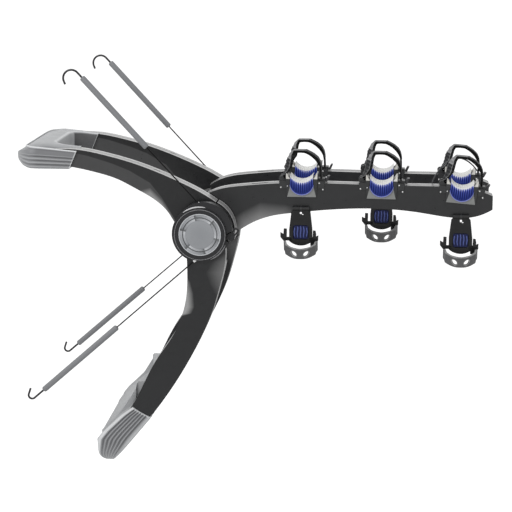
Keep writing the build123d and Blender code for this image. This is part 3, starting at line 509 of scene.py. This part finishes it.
# The lower section's tones paint a highlight along its outer bottom edge and a lighter top.
lower_section = (shaded([(0.04, 0.02), (0.12, 0), (0.5, 0), (0.9, 0.01)], 0.6)
                 + shaded([(0.955, 0.03), (0.985, 0.06), (1, 0.11)], 0.95)
                 + ribs_between(0.14, 0.86, 6, 72)
                 + shaded([(1, 0.92), (0.985, 0.97)], 0.8)
                 + shaded([(0.96, 0.995), (0.9, 1), (0.5, 1), (0.1, 1), (0.03, 0.98), (0, 0.92), (0, 0.5),
                           (0, 0.08)], 0.78))
lower_sheath = sheath(
    lambda along, aside, rise: (rise, aside, along), starts=(-394, -418), tips=(-416, -530),
    radii=(64, 52), halves=(127, 193),
    low=[(-530, -210), (-526, -222), (-516, -232), (-506, -236), (-470, -236), (-452, -222), (-414, -182),
         (-394, -154)],
    high=[(-530, -204), (-418, -112), (-394, -92)], section=lower_section, inner=0.8, set_back=0)
piece_of("lower_pad_sheath", lower_sheath, pad_rubber, "lower_frame", "pad", "lower_pad")


# Hubs: a charcoal housing with a black ring on each side, and a grey stepped dial that winds the cables.
# Two thin lips beside the ring carry a painted reflection and a painted highlight, and a fine bead round its
# face is painted grey as a highlight.
def hub_row(side, angle, spots):
    """Points at an angle about the hub axis, from (radius, depth) pairs in millimetres."""
    return [at_hub(radius * cos(angle), side * depth, radius * sin(angle)) for radius, depth in spots]


def dial_face(side):
    """Round plate with two bands of six ramps each, fine lines across the outer band and a smooth middle."""
    front, steps = 195, 360
    rows, tones = [], []
    for i in range(steps):
        ramp = (i * 6 / steps - 0.8) % 1
        wedge = max(0, (ramp - 0.84) / 0.16)
        inner = 0.6 + 1.2 * (1 - ramp) + 1.4 * wedge
        outer = inner - 0.2 + (0.18 if ramp > 0.25 and i % 4 < 2 else 0)
        # Painted shade darkens each notch and the groove between the bands, and the rim's top is painted
        # bright as a highlight. Each ramp's tone runs darker towards its notch.
        notch_shade = 1 - 0.7 * wedge
        outer_shade, inner_shade = notch_shade * (0.8 - 0.42 * ramp), notch_shade * (0.92 - 0.5 * ramp)
        # Radius, depth below the front and tone of each point, from the rim to the middle.
        profile = [(46.5, 3, 0.5), (46.5, 0.6, 0.6), (45.9, 0.1, 0.95), (45.2, 0, 1), (44.4, 0.2, 0.8),
                   (44, outer, outer_shade), (38.8, outer, outer_shade), (38.4, 2.6, 0.25), (36.6, 2.6, 0.25),
                   (36.2, inner, 0.2 + 0.8 * inner_shade), (34.5, inner, inner_shade),
                   (31.8, inner, inner_shade), (31.4, 1.6, 0.42), (30.4, 1.3, 0.55), (15, 1, 0.52),
                   (4, 0.9, 0.5), (0.1, 0.9, 0.5)]
        spots = [(radius, front - sunk) for radius, sunk, shade in profile]
        rows.append(hub_row(side, 2 * pi * i / steps, spots))
        tones.append([shade for radius, sunk, shade in profile])
    return skinned(rows, tones, ring=False, loop=True, sharp=35)


charcoal = coated("charcoal_nylon", (0.014, 0.0145, 0.016), 0.3, **moulded)
black_nylon = coated("black_nylon", (0.012, 0.012, 0.014), 0.3, grain=0.1)
dial_nylon = toned("dial_nylon", ((0, (0.02, 0.021, 0.022)), (1, (0.62, 0.64, 0.66)),
                                  (0.25, (0.12, 0.125, 0.13)), (0.5, (0.26, 0.27, 0.285)),
                                  (0.8, (0.42, 0.43, 0.45))), 0.42, grain=0.2)
crescent_reflection = coated("crescent_reflection", (0.7, 0.7, 0.71), 0.35, blotch=0.2)
bead_highlight = coated("bead_highlight", (0.3, 0.3, 0.31), 0.35)
spool_nylon = coated("spool_nylon", (0.3, 0.31, 0.33), 0.42, grain=0.2)
plated_steel = coated("plated_steel", (0.6, 0.61, 0.63), 0.3, grain=0.05, metal=1)
# Lips, painted bright as reflection and highlight: name, first and last turn in degrees, radius in
# millimetres and finish.
hub_highlight_lips = (("upper", 78, 128, 60.2, crescent_reflection), ("lower", -68, -22, 59.8, bead_highlight))
lip_foot, lip_top = 188.3, 189.1
bead_section = ((54.8, 195), (55.1, 195.9), (55.7, 195.9), (56, 195))
for word, side in side_signs.items():
    recast(f"{word}_hub_shell", f"{word}_housing", 0.0015, charcoal, "lower_frame", "frame")
    recast(f"{word}_hub_rim", f"{word}_hub_ring", 0.001, black_nylon, "lower_frame", "ring")
    piece_of(f"{word}_dial_plate", dial_face(side), dial_nylon, f"{word}_dial", "dial", f"{word}_dial")
    for label, first, last, radius, finish in hub_highlight_lips:
        lip = []
        for i in range(41):
            half = 0.2 + 1.6 * sin(pi * i / 40) ** 0.5
            lip.append(hub_row(side, radians(first + (last - first) * i / 40),
                               ((radius - half, lip_foot), (radius - 0.6 * half, lip_top),
                                (radius + 0.6 * half, lip_top), (radius + half, lip_foot))))
        piece_of(f"{word}_{label}_lip", skinned(lip), finish, "lower_frame", "frame")
    # The bead round the ring's face is painted grey as a highlight on the black ring.
    ring_bead = skinned([hub_row(side, pi * i / 60, bead_section) for i in range(120)], loop=True)
    piece_of(f"{word}_ring_bead", ring_bead, bead_highlight, "lower_frame", "ring")
    dress(f"{word}_spool", spool_nylon)
    recast(f"{word}_lock_knob", f"{word}_lock", 0.0006, black_nylon, f"{word}_lock", "ring", 2)
dress("hub_axle", plated_steel)
dress("axle_nuts", plated_steel)


# Arms: two curved hollow mouldings of the same nylon, joined by a steel cross tube beside the hub.
# Painted highlight stripes follow their edges, and painted light makes the wall below a line near the hub
# paler.
arm_charcoal = coated("arm_charcoal", (0.016, 0.0164, 0.0175), 0.32, **moulded)
painted_light_zone(arm_charcoal, "X", "Z", ((45, 0), (66.9, 26), (86.9, 40), (125, 60), (180, 56), (260, 36)), 45, 0.8,
      (0.32, 0.32, 0.32))
highlight_stripes(arm_charcoal, 0.069, 0.109, ((0, 0), (1, 0), (0.03, 0), (0.08, 1), (0.2, 1), (0.26, 0.12),
                                     (0.55, 0.2), (0.8, 0.35), (0.9, 0.3), (0.95, 0)), 0.6)
for word in side_signs:
    recast(f"{word}_carrying_arm", f"{word}_arm", 0.004, arm_charcoal, "arms", "frame")
dress("cross_tube", plated_steel)


# Cradles: a grey saddle with two pale horns on each station, and the strap's dark anchor and buckle, whose
# dark finish also paints the shade beside them on the saddle.
# The saddle is moulded round the arm and screwed to it.
# Of each station: its crest from the hub axis in millimetres, and its tilt in degrees.
stations = ((217, 103, 0), (392.5, 100.94, -1), (568, 93.215, -5))


def at_station(number, u, w, y):
    """Point of a station's side view, in millimetres from its crest, at y across the rack."""
    x, z, tilt = stations[number]
    turn = radians(tilt)
    return at_hub(x + u * cos(turn) - w * sin(turn), y, z + u * sin(turn) + w * cos(turn))


def seen_from(number, point):
    """Side view place of a point, in millimetres from the station's crest."""
    x, z, tilt = stations[number]
    turn = radians(tilt)
    along, up = 1000 * (point.x - hub.x) - x, 1000 * (point.z - hub.z) - z
    return along * cos(turn) + up * sin(turn), up * cos(turn) - along * sin(turn)


def split_saddles(mesh):
    """Cut the saddles where their finish changes, and give each part its own."""
    shape = bmesh.new()
    shape.from_mesh(mesh)
    for number in range(3):
        crest = at_station(number, 0, 0, 0)
        lift = (at_station(number, 0, 1, 0) - crest).normalized()
        aside = (at_station(number, 1, 0, 0) - crest).normalized()
        for u, w, normal in (
                (-horn_reach, 0, aside), (horn_reach, 0, aside), (0, horn_foot, lift), (0, skirt_top, lift),
                (-skirt_half, skirt_top, aside - skirt_slope * lift),
                (skirt_half, skirt_top, aside + skirt_slope * lift)):
            faces = [face for face in shape.faces
                     if abs(seen_from(number, face.calc_center_median())[0]) < saddle_reach]
            edges = {edge for face in faces for edge in face.edges}
            verts = {vert for face in faces for vert in face.verts}
            bmesh.ops.bisect_plane(shape, geom=[*faces, *edges, *verts], dist=0.00001,
                                   plane_co=at_station(number, u, w, 0), plane_no=normal)
    for face in shape.faces:
        centre = face.calc_center_median()
        number = min(range(3), key=lambda n: abs(seen_from(n, centre)[0]))
        u, w = seen_from(number, centre)
        skirt = w < skirt_top and abs(u) < skirt_half - skirt_slope * (w - skirt_top)
        horn = w > horn_foot and abs(u) < horn_reach
        # The faces beside the liner, between skirt and horns, take the dark fitting finish as painted shade
        # beside the strap's anchor and buckle.
        face.material_index = 1 if horn else 0 if skirt or abs(u) < 24 else 2
    shape.to_mesh(mesh)
    shape.free()


horn_reach, horn_foot, skirt_half, skirt_top, skirt_slope, saddle_reach = 34.4, 10, 26.5, -9, 0.25, 80
cradle_nylon = coated("cradle_nylon", (0.22, 0.225, 0.22), 0.5, blotch=0.25)
horn_nylon = coated("horn_nylon", (0.62, 0.61, 0.57), 0.45, blotch=0.2)
fitting_and_shade_nylon = coated("fitting_and_shade_nylon", (0.02, 0.021, 0.022), 0.4, grain=0.2)
for word in side_signs:
    saddles = recast(f"{word}_saddles", f"{word}_cradle_bases", 0.0014, cradle_nylon, "arms", "cradle").data
    saddles.materials.append(horn_nylon)
    saddles.materials.append(fitting_and_shade_nylon)
    split_saddles(saddles)


# Liners: royal blue rubber pressed into each saddle, ribbed along the arm, with an apron on both sides.
# A painted highlight lies pale over its lips and the trough floor, its rib crests carry painted highlights
# and its grooves painted shade, and a light bead closes each apron.
def joined(meshes):
    """One mesh out of several."""
    shape = bmesh.new()
    for mesh in meshes:
        shape.from_mesh(mesh)
    whole = bpy.data.meshes.new("whole")
    shape.to_mesh(whole)
    shape.free()
    return whole


def liner_shape(side):
    """Liners of one arm: a trough with a lip and a ribbed apron at each end."""
    trough, apron, columns, rib_pitch = 30, 26.5, 121, 4.7
    troughs = []
    for number in range(3):
        rows, tones = [], []
        for i in range(columns):
            share = 2 * i / (columns - 1) - 1
            u_top, u_foot = 25.2 * share, 26.2 * share
            w_top = 36 - sqrt(trough * trough - u_top * u_top)
            w_foot = 0.4 - sqrt(apron * apron - u_foot * u_foot)
            rib = 0.5 + 0.5 * cos(2 * pi * u_top / rib_pitch)
            lip = w_top - 4 + 1.2 * rib
            # How far the painted highlight reaches down from the lip, which varies from column to column.
            wear_and_sheen = 2.5 + 3.5 * (0.5 + 0.5 * sin(2.7 * u_top)) + 2.5 * (0.5 + 0.5 * sin(1.13 * u_top + 1))
            u_low, w_low = u_foot * 0.98, w_foot + 2.4
            # Along the arm, up, out of the saddle's side, and tone: from the apron's foot over the lip.
            line = [(u_foot * 0.985, w_foot + 1.5, 0, 0.3), (u_foot, w_foot, 0.8, 0.62),
                    (u_foot, w_foot + 0.3, 2.8, 0.68), (u_foot * 0.985, w_foot + 1.8, 2.9, 0.62),
                    (u_low, w_low, 2, 0.2)]
            for run in [0.1 + 0.9 * k / 8 for k in range(9)]:
                w = w_low + (lip - 1.5 - w_low) * run
                lip_sheen = max(0, 1 - (lip - w) / wear_and_sheen) ** 0.8
                line.append((u_low + (u_top - u_low) * run, w, 0.8 + 2 * rib,
                             0.04 + 0.66 * rib ** 1.5 * (0.2 + 0.8 * run) + 0.6 * lip_sheen))
            # The lip and the trough floor above it are painted near white as a highlight.
            line += [(u_top, lip + 0.4, 1.4, 1), (u_top, lip + 1.8, -0.6, 1), (u_top, w_top - 0.6, -4, 1),
                     (u_top, w_top + 0.5 * rib, -9, 0.97), (u_top, w_top + 0.9 * rib, -16, 0.97)]
            spots = [(u, w, saddle_outer + out, tone) for u, w, out, tone in line]
            spots += [(u, w, saddle_inner - out, tone) for u, w, out, tone in line[::-1]]
            rows.append([at_station(number, u, w, side * y) for u, w, y, tone in spots])
            tones.append([min(1, tone) for u, w, y, tone in spots])
        troughs.append(skinned(rows, tones, ring=False))
    return joined(troughs)


saddle_inner, saddle_outer = 66, 112
# The ramp's top stop is the near white of the painted highlight on the lips and trough floor.
blue_rubber = toned("blue_rubber", ((0, (0.004, 0.012, 0.11)), (0.5, (0.07, 0.1, 0.42)),
                                    (0.25, (0.012, 0.028, 0.22)), (0.7, (0.28, 0.31, 0.66)),
                                    (0.95, (0.8, 0.8, 0.78))), 0.5, grain=0.2, shine=0.3)
for word, side in side_signs.items():
    piece_of(f"{word}_liners", liner_shape(side), blue_rubber, "arms", "insert", f"{word}_cradle_inserts")


# Straps: dark grey toothed rubber, each turned a little towards its root, where rungs stand proud.
# A pin in the anchor holds the root, and the toothed end drops into the buckle, under its small lever.
def row_of_forms():
    """Node tree that stands copies of a small form along a line."""
    tree = bpy.data.node_groups.new("row_of_forms", "GeometryNodeTree")
    for word, kind in (("Line", "Geometry"), ("Form", "Object"), ("Count", "Int"), ("Finish", "Material")):
        tree.interface.new_socket(word, in_out="INPUT", socket_type=f"NodeSocket{kind}")
    tree.interface.new_socket("Row", in_out="OUTPUT", socket_type="NodeSocketGeometry")
    given = tree.nodes.new("NodeGroupInput").outputs
    line = node_of(tree, "GeometryNodeMeshToCurve", {"Mesh": given["Line"]})
    dots = node_of(tree, "GeometryNodeCurveToPoints", {"Curve": line, "Count": given["Count"]}, mode="COUNT")
    turn = node_of(tree, "FunctionNodeAlignRotationToVector", {"Vector": dots.node.outputs["Tangent"]},
                   axis="X", pivot_axis="Y")
    form = node_of(tree, "GeometryNodeObjectInfo", {"Object": given["Form"]}, "Geometry")
    copies = node_of(tree, "GeometryNodeInstanceOnPoints",
                     {"Points": dots, "Instance": form, "Rotation": turn})
    real = node_of(tree, "GeometryNodeRealizeInstances", {"Geometry": copies})
    finish = node_of(tree, "GeometryNodeSetMaterial", {"Geometry": real, "Material": given["Finish"]})
    tree.links.new(finish, tree.nodes.new("NodeGroupOutput").inputs["Row"])
    return tree


def row_along(lines, form, count, mat):
    """Mesh of small forms stood along some lines of points."""
    path = bpy.data.meshes.new("path")
    points, edges = [], []
    for line in lines:
        first = len(points)
        points += line
        edges += [(first + i, first + i + 1) for i in range(len(line) - 1)]
    path.from_pydata(points, edges, [])
    row = placed("row", path)
    spread = row.modifiers.new("row", "NODES")
    spread.node_group = row_tree
    sockets = {item.name: item.identifier for item in row_tree.interface.items_tree if item.in_out == "INPUT"}
    spread[sockets["Form"]] = form
    spread[sockets["Count"]] = count
    spread[sockets["Finish"]] = mat
    return baked(row)


def small_form(rows):
    """Loose little form with flat faces, for rows only: it is removed once its rows are made."""
    form = placed("small_form", skinned(rows))
    form.data.shade_flat()
    return form


row_tree = row_of_forms()
tooth_half, tooth_foot, tooth_tip, tooth_height, tooth_slant = 0.0108, 0.0009, 0.0004, 0.0009, 0.002
tooth_corners = ((-1, -tooth_half), (1, -tooth_half), (1, tooth_half), (-1, tooth_half))
tooth = small_form([[(x * width + (0 if y < 0 else tooth_slant), y, z) for x, y in tooth_corners]
                    for z, width in ((0, tooth_foot), (tooth_height, tooth_tip))])
arm_mid = 89
# Strap line: outer place, inner place and turn at each knot, in a station's side view.
strap_knots = (
    ((-50.5, 6), (-39.5, 5), 0), ((-49, 13), (-37, 14), 4), ((-43.5, 17), (-31.5, 19), 10),
    ((-39.5, 26), (-26, 28), 18), ((-37.8, 36), (-21.4, 34), 24), ((-37, 46), (-19.6, 44), 26),
    ((-34, 53), (-18.6, 52), 22), ((-28, 64), (-17.4, 59.5), 11), ((-20.5, 71.6), (-15.2, 65), 2),
    ((-18, 72.4), (-13, 66), 0), ((-8, 72.6), (-5, 66.6), 0), ((6, 72.6), (4, 66.2), 0),
    ((9, 72.1), (7.5, 65.3), 0), ((17, 68.6), (13.6, 62.4), 0), ((25.5, 64), (21, 57.6), 0),
    ((34, 57.4), (28.5, 50.8), 0), ((36.8, 54), (31, 47.6), 0), ((40.6, 47), (35, 42), 0),
    ((42.8, 38), (38, 36), 0), ((44.3, 24), (40.2, 24), 0), ((44.9, 10.3), (40.4, 10.3), 0))


def knot_at(place):
    """Outer place, inner place and turn at a place along the knots."""
    first = min(int(place), len(strap_knots) - 2)
    (out_a, in_a, turn_a), (out_b, in_b, turn_b) = strap_knots[first:first + 2]
    share = place - first
    return (Vector(out_a).lerp(Vector(out_b), share), Vector(in_a).lerp(Vector(in_b), share),
            turn_a + (turn_b - turn_a) * share)


def band(number, middle):
    """Toothed strap of one station: rungs on its turned root, a plain crown and a pad for the teeth."""
    half, chamfer, steps, rung_height, rung_pitch = 12.2, 0.7, 160, 0.9, 0.85
    rows, tones = [], []
    for i in range(steps + 1):
        place = (len(strap_knots) - 1) * i / steps
        outer, inner, turn = knot_at(place)
        turn = radians(turn)
        across, centre = outer - inner, (outer + inner) / 2
        thick = (across.length - 2 * half * sin(turn)) / cos(turn) / 2
        across.normalize()
        rung = rung_height * (0.5 + 0.5 * cos(2 * pi * place / rung_pitch)) if 1 < place < 7.3 else 0
        lift = thick + rung - rung_height / 2
        sunk = lift - 0.5 * rung
        # Painted light and shade: the crown brightest, the root and far end darker, the middle groove darker,
        # the underside darkest, one side darker than the other, and the top edges and rung tops lighter as
        # highlights.
        face = 0.35 if place < 6 else 0.95 if place < 13 else 0.7 if place < 17 else 0.3
        row, tone = [], []
        for n, b, value in (
                (lift, -half + chamfer, 0.9), (lift, -half + 2.6, face), (sunk, -half + 3.2, face - 0.15),
                (sunk, half - 3.2, face - 0.15), (lift, half - 2.6, face), (lift, half - chamfer, 0.9),
                (lift - chamfer, half, 0.5), (-thick + chamfer, half, 0.05), (-thick, half - chamfer, 0.05),
                (-thick, -half + chamfer, 0.05), (-thick + chamfer, -half, 0), (lift - chamfer, -half, 0)):
            spot = centre + across * (n * cos(turn) + b * sin(turn))
            row.append(at_station(number, *spot, middle + b * cos(turn) - n * sin(turn)))
            tone.append(value + 0.25 * rung)
        rows.append(row)
        tones.append(tone)
    return skinned(rows, tones, sharp=55)


strap_rubber = toned("strap_rubber", ((0, (0.002, 0.002, 0.002)), (1, (0.34, 0.34, 0.345)),
                                      (0.3, (0.03, 0.031, 0.033)), (0.6, (0.1, 0.102, 0.105))), 0.65,
                     grain=0.35, grain_size=0.0009, shine=0.12)
tooth_rubber = coated("tooth_rubber", (0.03, 0.03, 0.032), 0.6, grain=0.3, shine=0.2)
lever_nylon = coated("lever_nylon", (0.03, 0.03, 0.033), 0.35)
for word, side in side_signs.items():
    for number in range(3):
        strap, lever = f"{word}_strap_{number + 1}", f"{word}_lever_{number + 1}"
        piece_of(f"{word}_band_{number + 1}", band(number, side * arm_mid), strap_rubber, strap, "strap",
                 strap)
        crown = []
        for i in range(36):
            outer, inner, turn = knot_at(11.4 + 0.2 * i)
            spot = outer + (inner - outer).normalized() * 0.5
            crown.append(at_station(number, *spot, side * arm_mid))
        teeth = row_along([crown], tooth, 24, tooth_rubber)
        piece_of(f"{word}_teeth_{number + 1}", teeth, tooth_rubber, strap, "strap")
        recast(f"{word}_catch_{number + 1}", lever, 0.001, lever_nylon, lever, "lever")
bpy.data.objects.remove(tooth)
plain_rubber = coated("plain_rubber", (0.06, 0.062, 0.065), 0.6, grain=0.3, shine=0.25)
recast("plain_tie", "tie_strap", 0.0008, plain_rubber, "arms", "strap")


# Cages: black swinging trays that steady the frames of the bikes, hinged on a lug at the arm's side.
# Each has a blue ribbed pad in its window, a claw at both sides and a rubber strap with two slanted holes.
tray_pin_heights = (47, 53, 34)
tray_faces = (-117, 61, -117)


def at_tray(number, u, w, out):
    """Point of a tray in millimetres from its hinge pin: along the arm, up, and out from its middle."""
    return at_hub(stations[number][0] - 1 + u, tray_faces[number] - out, tray_pin_heights[number] + w)


def slab(outline, place, near, far, width):
    """Plate of a given outline with its edges eased: place turns (u, w, out) into a point."""
    rows = [[place(u, w, out) for u, w in outline] for out in (near, far)]
    return baked(softened(skinned(rows), width, 2))


def tray_pad(number):
    """Rubber pad that fills the tray's window, with five rounded ribs, the middle one the longest."""
    base = [(-16.5, -37), (-15, -36), (15, -36), (16.5, -37), (16.5, -65), (14, -66.4), (-14, -66.4),
            (-16.5, -65)]
    plates = [slab(base, lambda u, w, out: at_tray(number, u, w, out), 0.6, 3.2, 0.0005)]
    widest, rise, centre = 1.6, 2.9, -51.2
    for middle in (-14, -7, 0, 7, 14):
        reach = 14.2 - 0.018 * middle * middle
        rows, tones = [], []
        for i in range(15):
            share = 2 * i / 14 - 1
            half = widest * sqrt(max(0.02, 1 - share ** 6))
            sway = 0.5 * sin(4 * share + middle)
            turns = [pi * j / 8 for j in range(9)]
            rows.append([at_tray(number, middle + sway + half * cos(turn), centre + reach * share,
                                 3 + rise * half / widest * sin(turn)) for turn in turns])
            # Painted highlight along each rib's crest, painted shade down its sides.
            tones.append([0.25 + 0.75 * sin(turn) for turn in turns])
        plates.append(skinned(rows, tones))
    return joined(plates)


def tray_band(number):
    """Half round rubber strap, its edges waved, with two oval holes slanted towards each other."""
    radius, thick, half, lean, steps, levels = 37, 4, 13.5, radians(25), 150, 26
    hole_place, hole_drop, hole_turn, hole_long, hole_wide = 14.2, 0.5, 38, 7.4, 5.8
    shape = bmesh.new()
    layer = shape.verts.layers.float.new("tone")
    grid, flat = [], {}
    for i in range(steps + 1):
        run = (i / steps - 0.5) * pi * radius
        row = []
        for j in range(levels + 1):
            rise = (2 * j / levels - 1) * half * (1 - 0.04 * (0.5 + 0.5 * cos(run / 4.2)))
            vert = shape.verts.new((run, rise, 0))
            flat[vert] = (run, rise)
            row.append(vert)
        grid.append(row)

    def hole(run, rise):
        """How far a place is from the nearer hole's middle, where 1 is its rim."""
        shares = []
        for slant in (-1, 1):
            turn = radians(hole_turn) * slant
            a, b = run - hole_place * slant, rise + hole_drop
            along, aside = a * sin(turn) + b * cos(turn), a * cos(turn) - b * sin(turn)
            shares.append(sqrt((along / hole_long) ** 2 + (aside / hole_wide) ** 2))
        return min(shares)

    kept, gone = set(), set()
    for i in range(steps):
        for j in range(levels):
            corners = (grid[i][j], grid[i + 1][j], grid[i + 1][j + 1], grid[i][j + 1])
            run = sum(flat[c][0] for c in corners) / 4
            rise = sum(flat[c][1] for c in corners) / 4
            if hole(run, rise) < 1:
                gone.update(corners)
            else:
                shape.faces.new(corners)
                kept.update(corners)
    for vert in kept:
        run, rise = flat[vert]
        if vert in gone:
            for _ in range(4):
                level = hole(run, rise)
                middle = -hole_place if run < 0 else hole_place
                run, rise = middle + (run - middle) / level, -hole_drop + (rise + hole_drop) / level
        # Painted highlights along the strap's edges and round the rims of its holes.
        vert[layer] = 1 if half - abs(rise) < 1.2 or hole(run, rise) < 1.18 else 0.42
        angle = 1.5 * pi + run / radius
        away = radius + (0.8 * cos(run / 3.1) if abs(run) > 34 else 0)
        point = Matrix.Rotation(lean, 3, "X") @ Vector((cos(angle) * away, sin(angle) * away, rise))
        vert.co = at_tray(number, 0, -80, 0) + 0.001 * point
    bmesh.ops.delete(shape, geom=[vert for vert in shape.verts if not vert.link_faces], context="VERTS")
    bmesh.ops.recalc_face_normals(shape, faces=shape.faces)
    if sum(face.normal.y for face in shape.faces) > 0:
        bmesh.ops.reverse_faces(shape, faces=shape.faces)
    mesh = bpy.data.meshes.new("loose")
    shape.to_mesh(mesh)
    shape.free()
    mesh.shade_smooth()
    piece = placed("loose", mesh)
    wall = piece.modifiers.new("wall", "SOLIDIFY")
    wall.thickness = 0.001 * thick
    wall.offset = -1
    whole = baked(piece)
    whole.set_sharp_from_angle(angle=radians(50))
    return whole


claw_drop = 47
left_claw = ((-30.5, 3.5), (-37.5, 3.9), (-38, -8.5), (-44.8, -4.5), (-44.8, -15), (-39, -22), (-31, -22),
             (-30.5, -6))
right_claw = ((27.2, 0.3), (32.8, -0.1), (34.5, -8.1), (34, -13), (39.5, -10.5), (38.5, -20), (36.9, -26.4),
              (31.9, -31), (27, -23), (26.5, -15))
tray_nylon = coated("tray_nylon", (0.006, 0.006, 0.0064), 0.35, grain=0.12, shine=0.4)
tray_blue = toned("tray_blue", ((0, (0.008, 0.012, 0.07)), (1, (0.1, 0.13, 0.36))), 0.5, grain=0.2, shine=0.3)
band_rubber = toned("band_rubber", ((0, (0.03, 0.03, 0.031)), (1, (0.3, 0.3, 0.3)),
                                    (0.42, (0.1, 0.1, 0.102))), 0.55, grain=0.3, shine=0.3)
for number in range(3):
    cage = f"cage_{number + 1}"
    plates = [baked(eased(cage, 0.0012))]
    for claw in (left_claw, right_claw):
        plates.append(slab(claw, lambda u, w, out: at_tray(number, u, w - claw_drop, out), 2.5, 8.5, 0.0006))
    piece_of(f"tray_{number + 1}", joined(plates), tray_nylon, cage, "cage", cage)
    piece_of(f"tray_pad_{number + 1}", tray_pad(number), tray_blue, cage, "insert", f"cage_pad_{number + 1}")
    piece_of(f"tray_strap_{number + 1}", tray_band(number), band_rubber, f"cage_strap_{number + 1}", "strap",
             f"cage_strap_{number + 1}")
dress("cage_brackets", charcoal)


# Fittings: dark plates screwed to the arms beside each cradle, which carry the strap's root and buckle.
# Two bright rivets hold each plate. Black sheets on the floors of the slots in the tops of the arms and upper
# legs paint the shade inside them.
plate_outlines = (((-50, 5), (-49, -9), (-46, -13), (-31, -10), (-28, -5), (-29, 4)),
                  ((35, 6), (49, 4.5), (49.5, -6), (48.5, -17), (44.5, -17.5), (43.5, -9), (35.5, -12)))
# Near and far face of the plates on the two sides of an arm, across the rack.
plate_faces = ((109, 111), (69, 67))
rivet_places = (((-46, -9), (-31.5, -6)), ((38.5, 1), (46.5, -13)))
# Depth and radius of a rivet's rings, in metres, from end to end.
rivet_rings = ((-0.0014, 0.0004), (-0.0012, 0.0011), (-0.0007, 0.0017), (0.0007, 0.0017), (0.0012, 0.0011),
               (0.0014, 0.0004))
rivet = small_form([[(radius * cos(pi * i / 6), depth, radius * sin(pi * i / 6)) for i in range(12)]
                    for depth, radius in rivet_rings])
rivet_steel = coated("rivet_steel", (0.7, 0.7, 0.7), 0.3, grain=0.05, metal=1)
slot_shade = coated("slot_shade", (0.002, 0.002, 0.002), 0.7, shine=0.1)
# Slots: name, body, middle, length, width and floor, in millimetres from the hub axis.
slots = (("arm", "arms", 123, arm_mid, 38, 8, 94), ("leg", "upper_frame", -100.9, 135, 12.4, 6.6, 129))


def stadium(x, y, length, width):
    """Outline of a slot with round ends."""
    reach, end = (length - width) / 2, width / 2
    return [(x + (reach if abs(turn) < 90 else -reach) + end * cos(radians(turn)),
             y + end * sin(radians(turn))) for turn in (*range(-85, 90, 17), *range(95, 270, 17))]


for word, side in side_signs.items():
    plates, lines = [], []
    for number in range(3):
        for near, far in plate_faces:
            for outline, pair in zip(plate_outlines, rivet_places):
                plates.append(slab(outline, lambda u, w, y: at_station(number, u, w, side * y), near, far,
                                   0.0004))
                lines.append([at_station(number, u, w, side * far) for u, w in pair])
    piece_of(f"{word}_fittings", joined(plates), fitting_and_shade_nylon, "arms", "cradle")
    piece_of(f"{word}_rivets", row_along(lines, rivet, 2, rivet_steel), rivet_steel, "arms", "cradle")
    for label, body, x, y, length, width, deep in slots:
        sink = slab(stadium(x, side * y, length, width), at_hub, deep + 0.05, deep + 0.3, 0.0001)
        piece_of(f"{word}_{label}_slot", sink, slot_shade, body, "frame")
bpy.data.objects.remove(rivet)
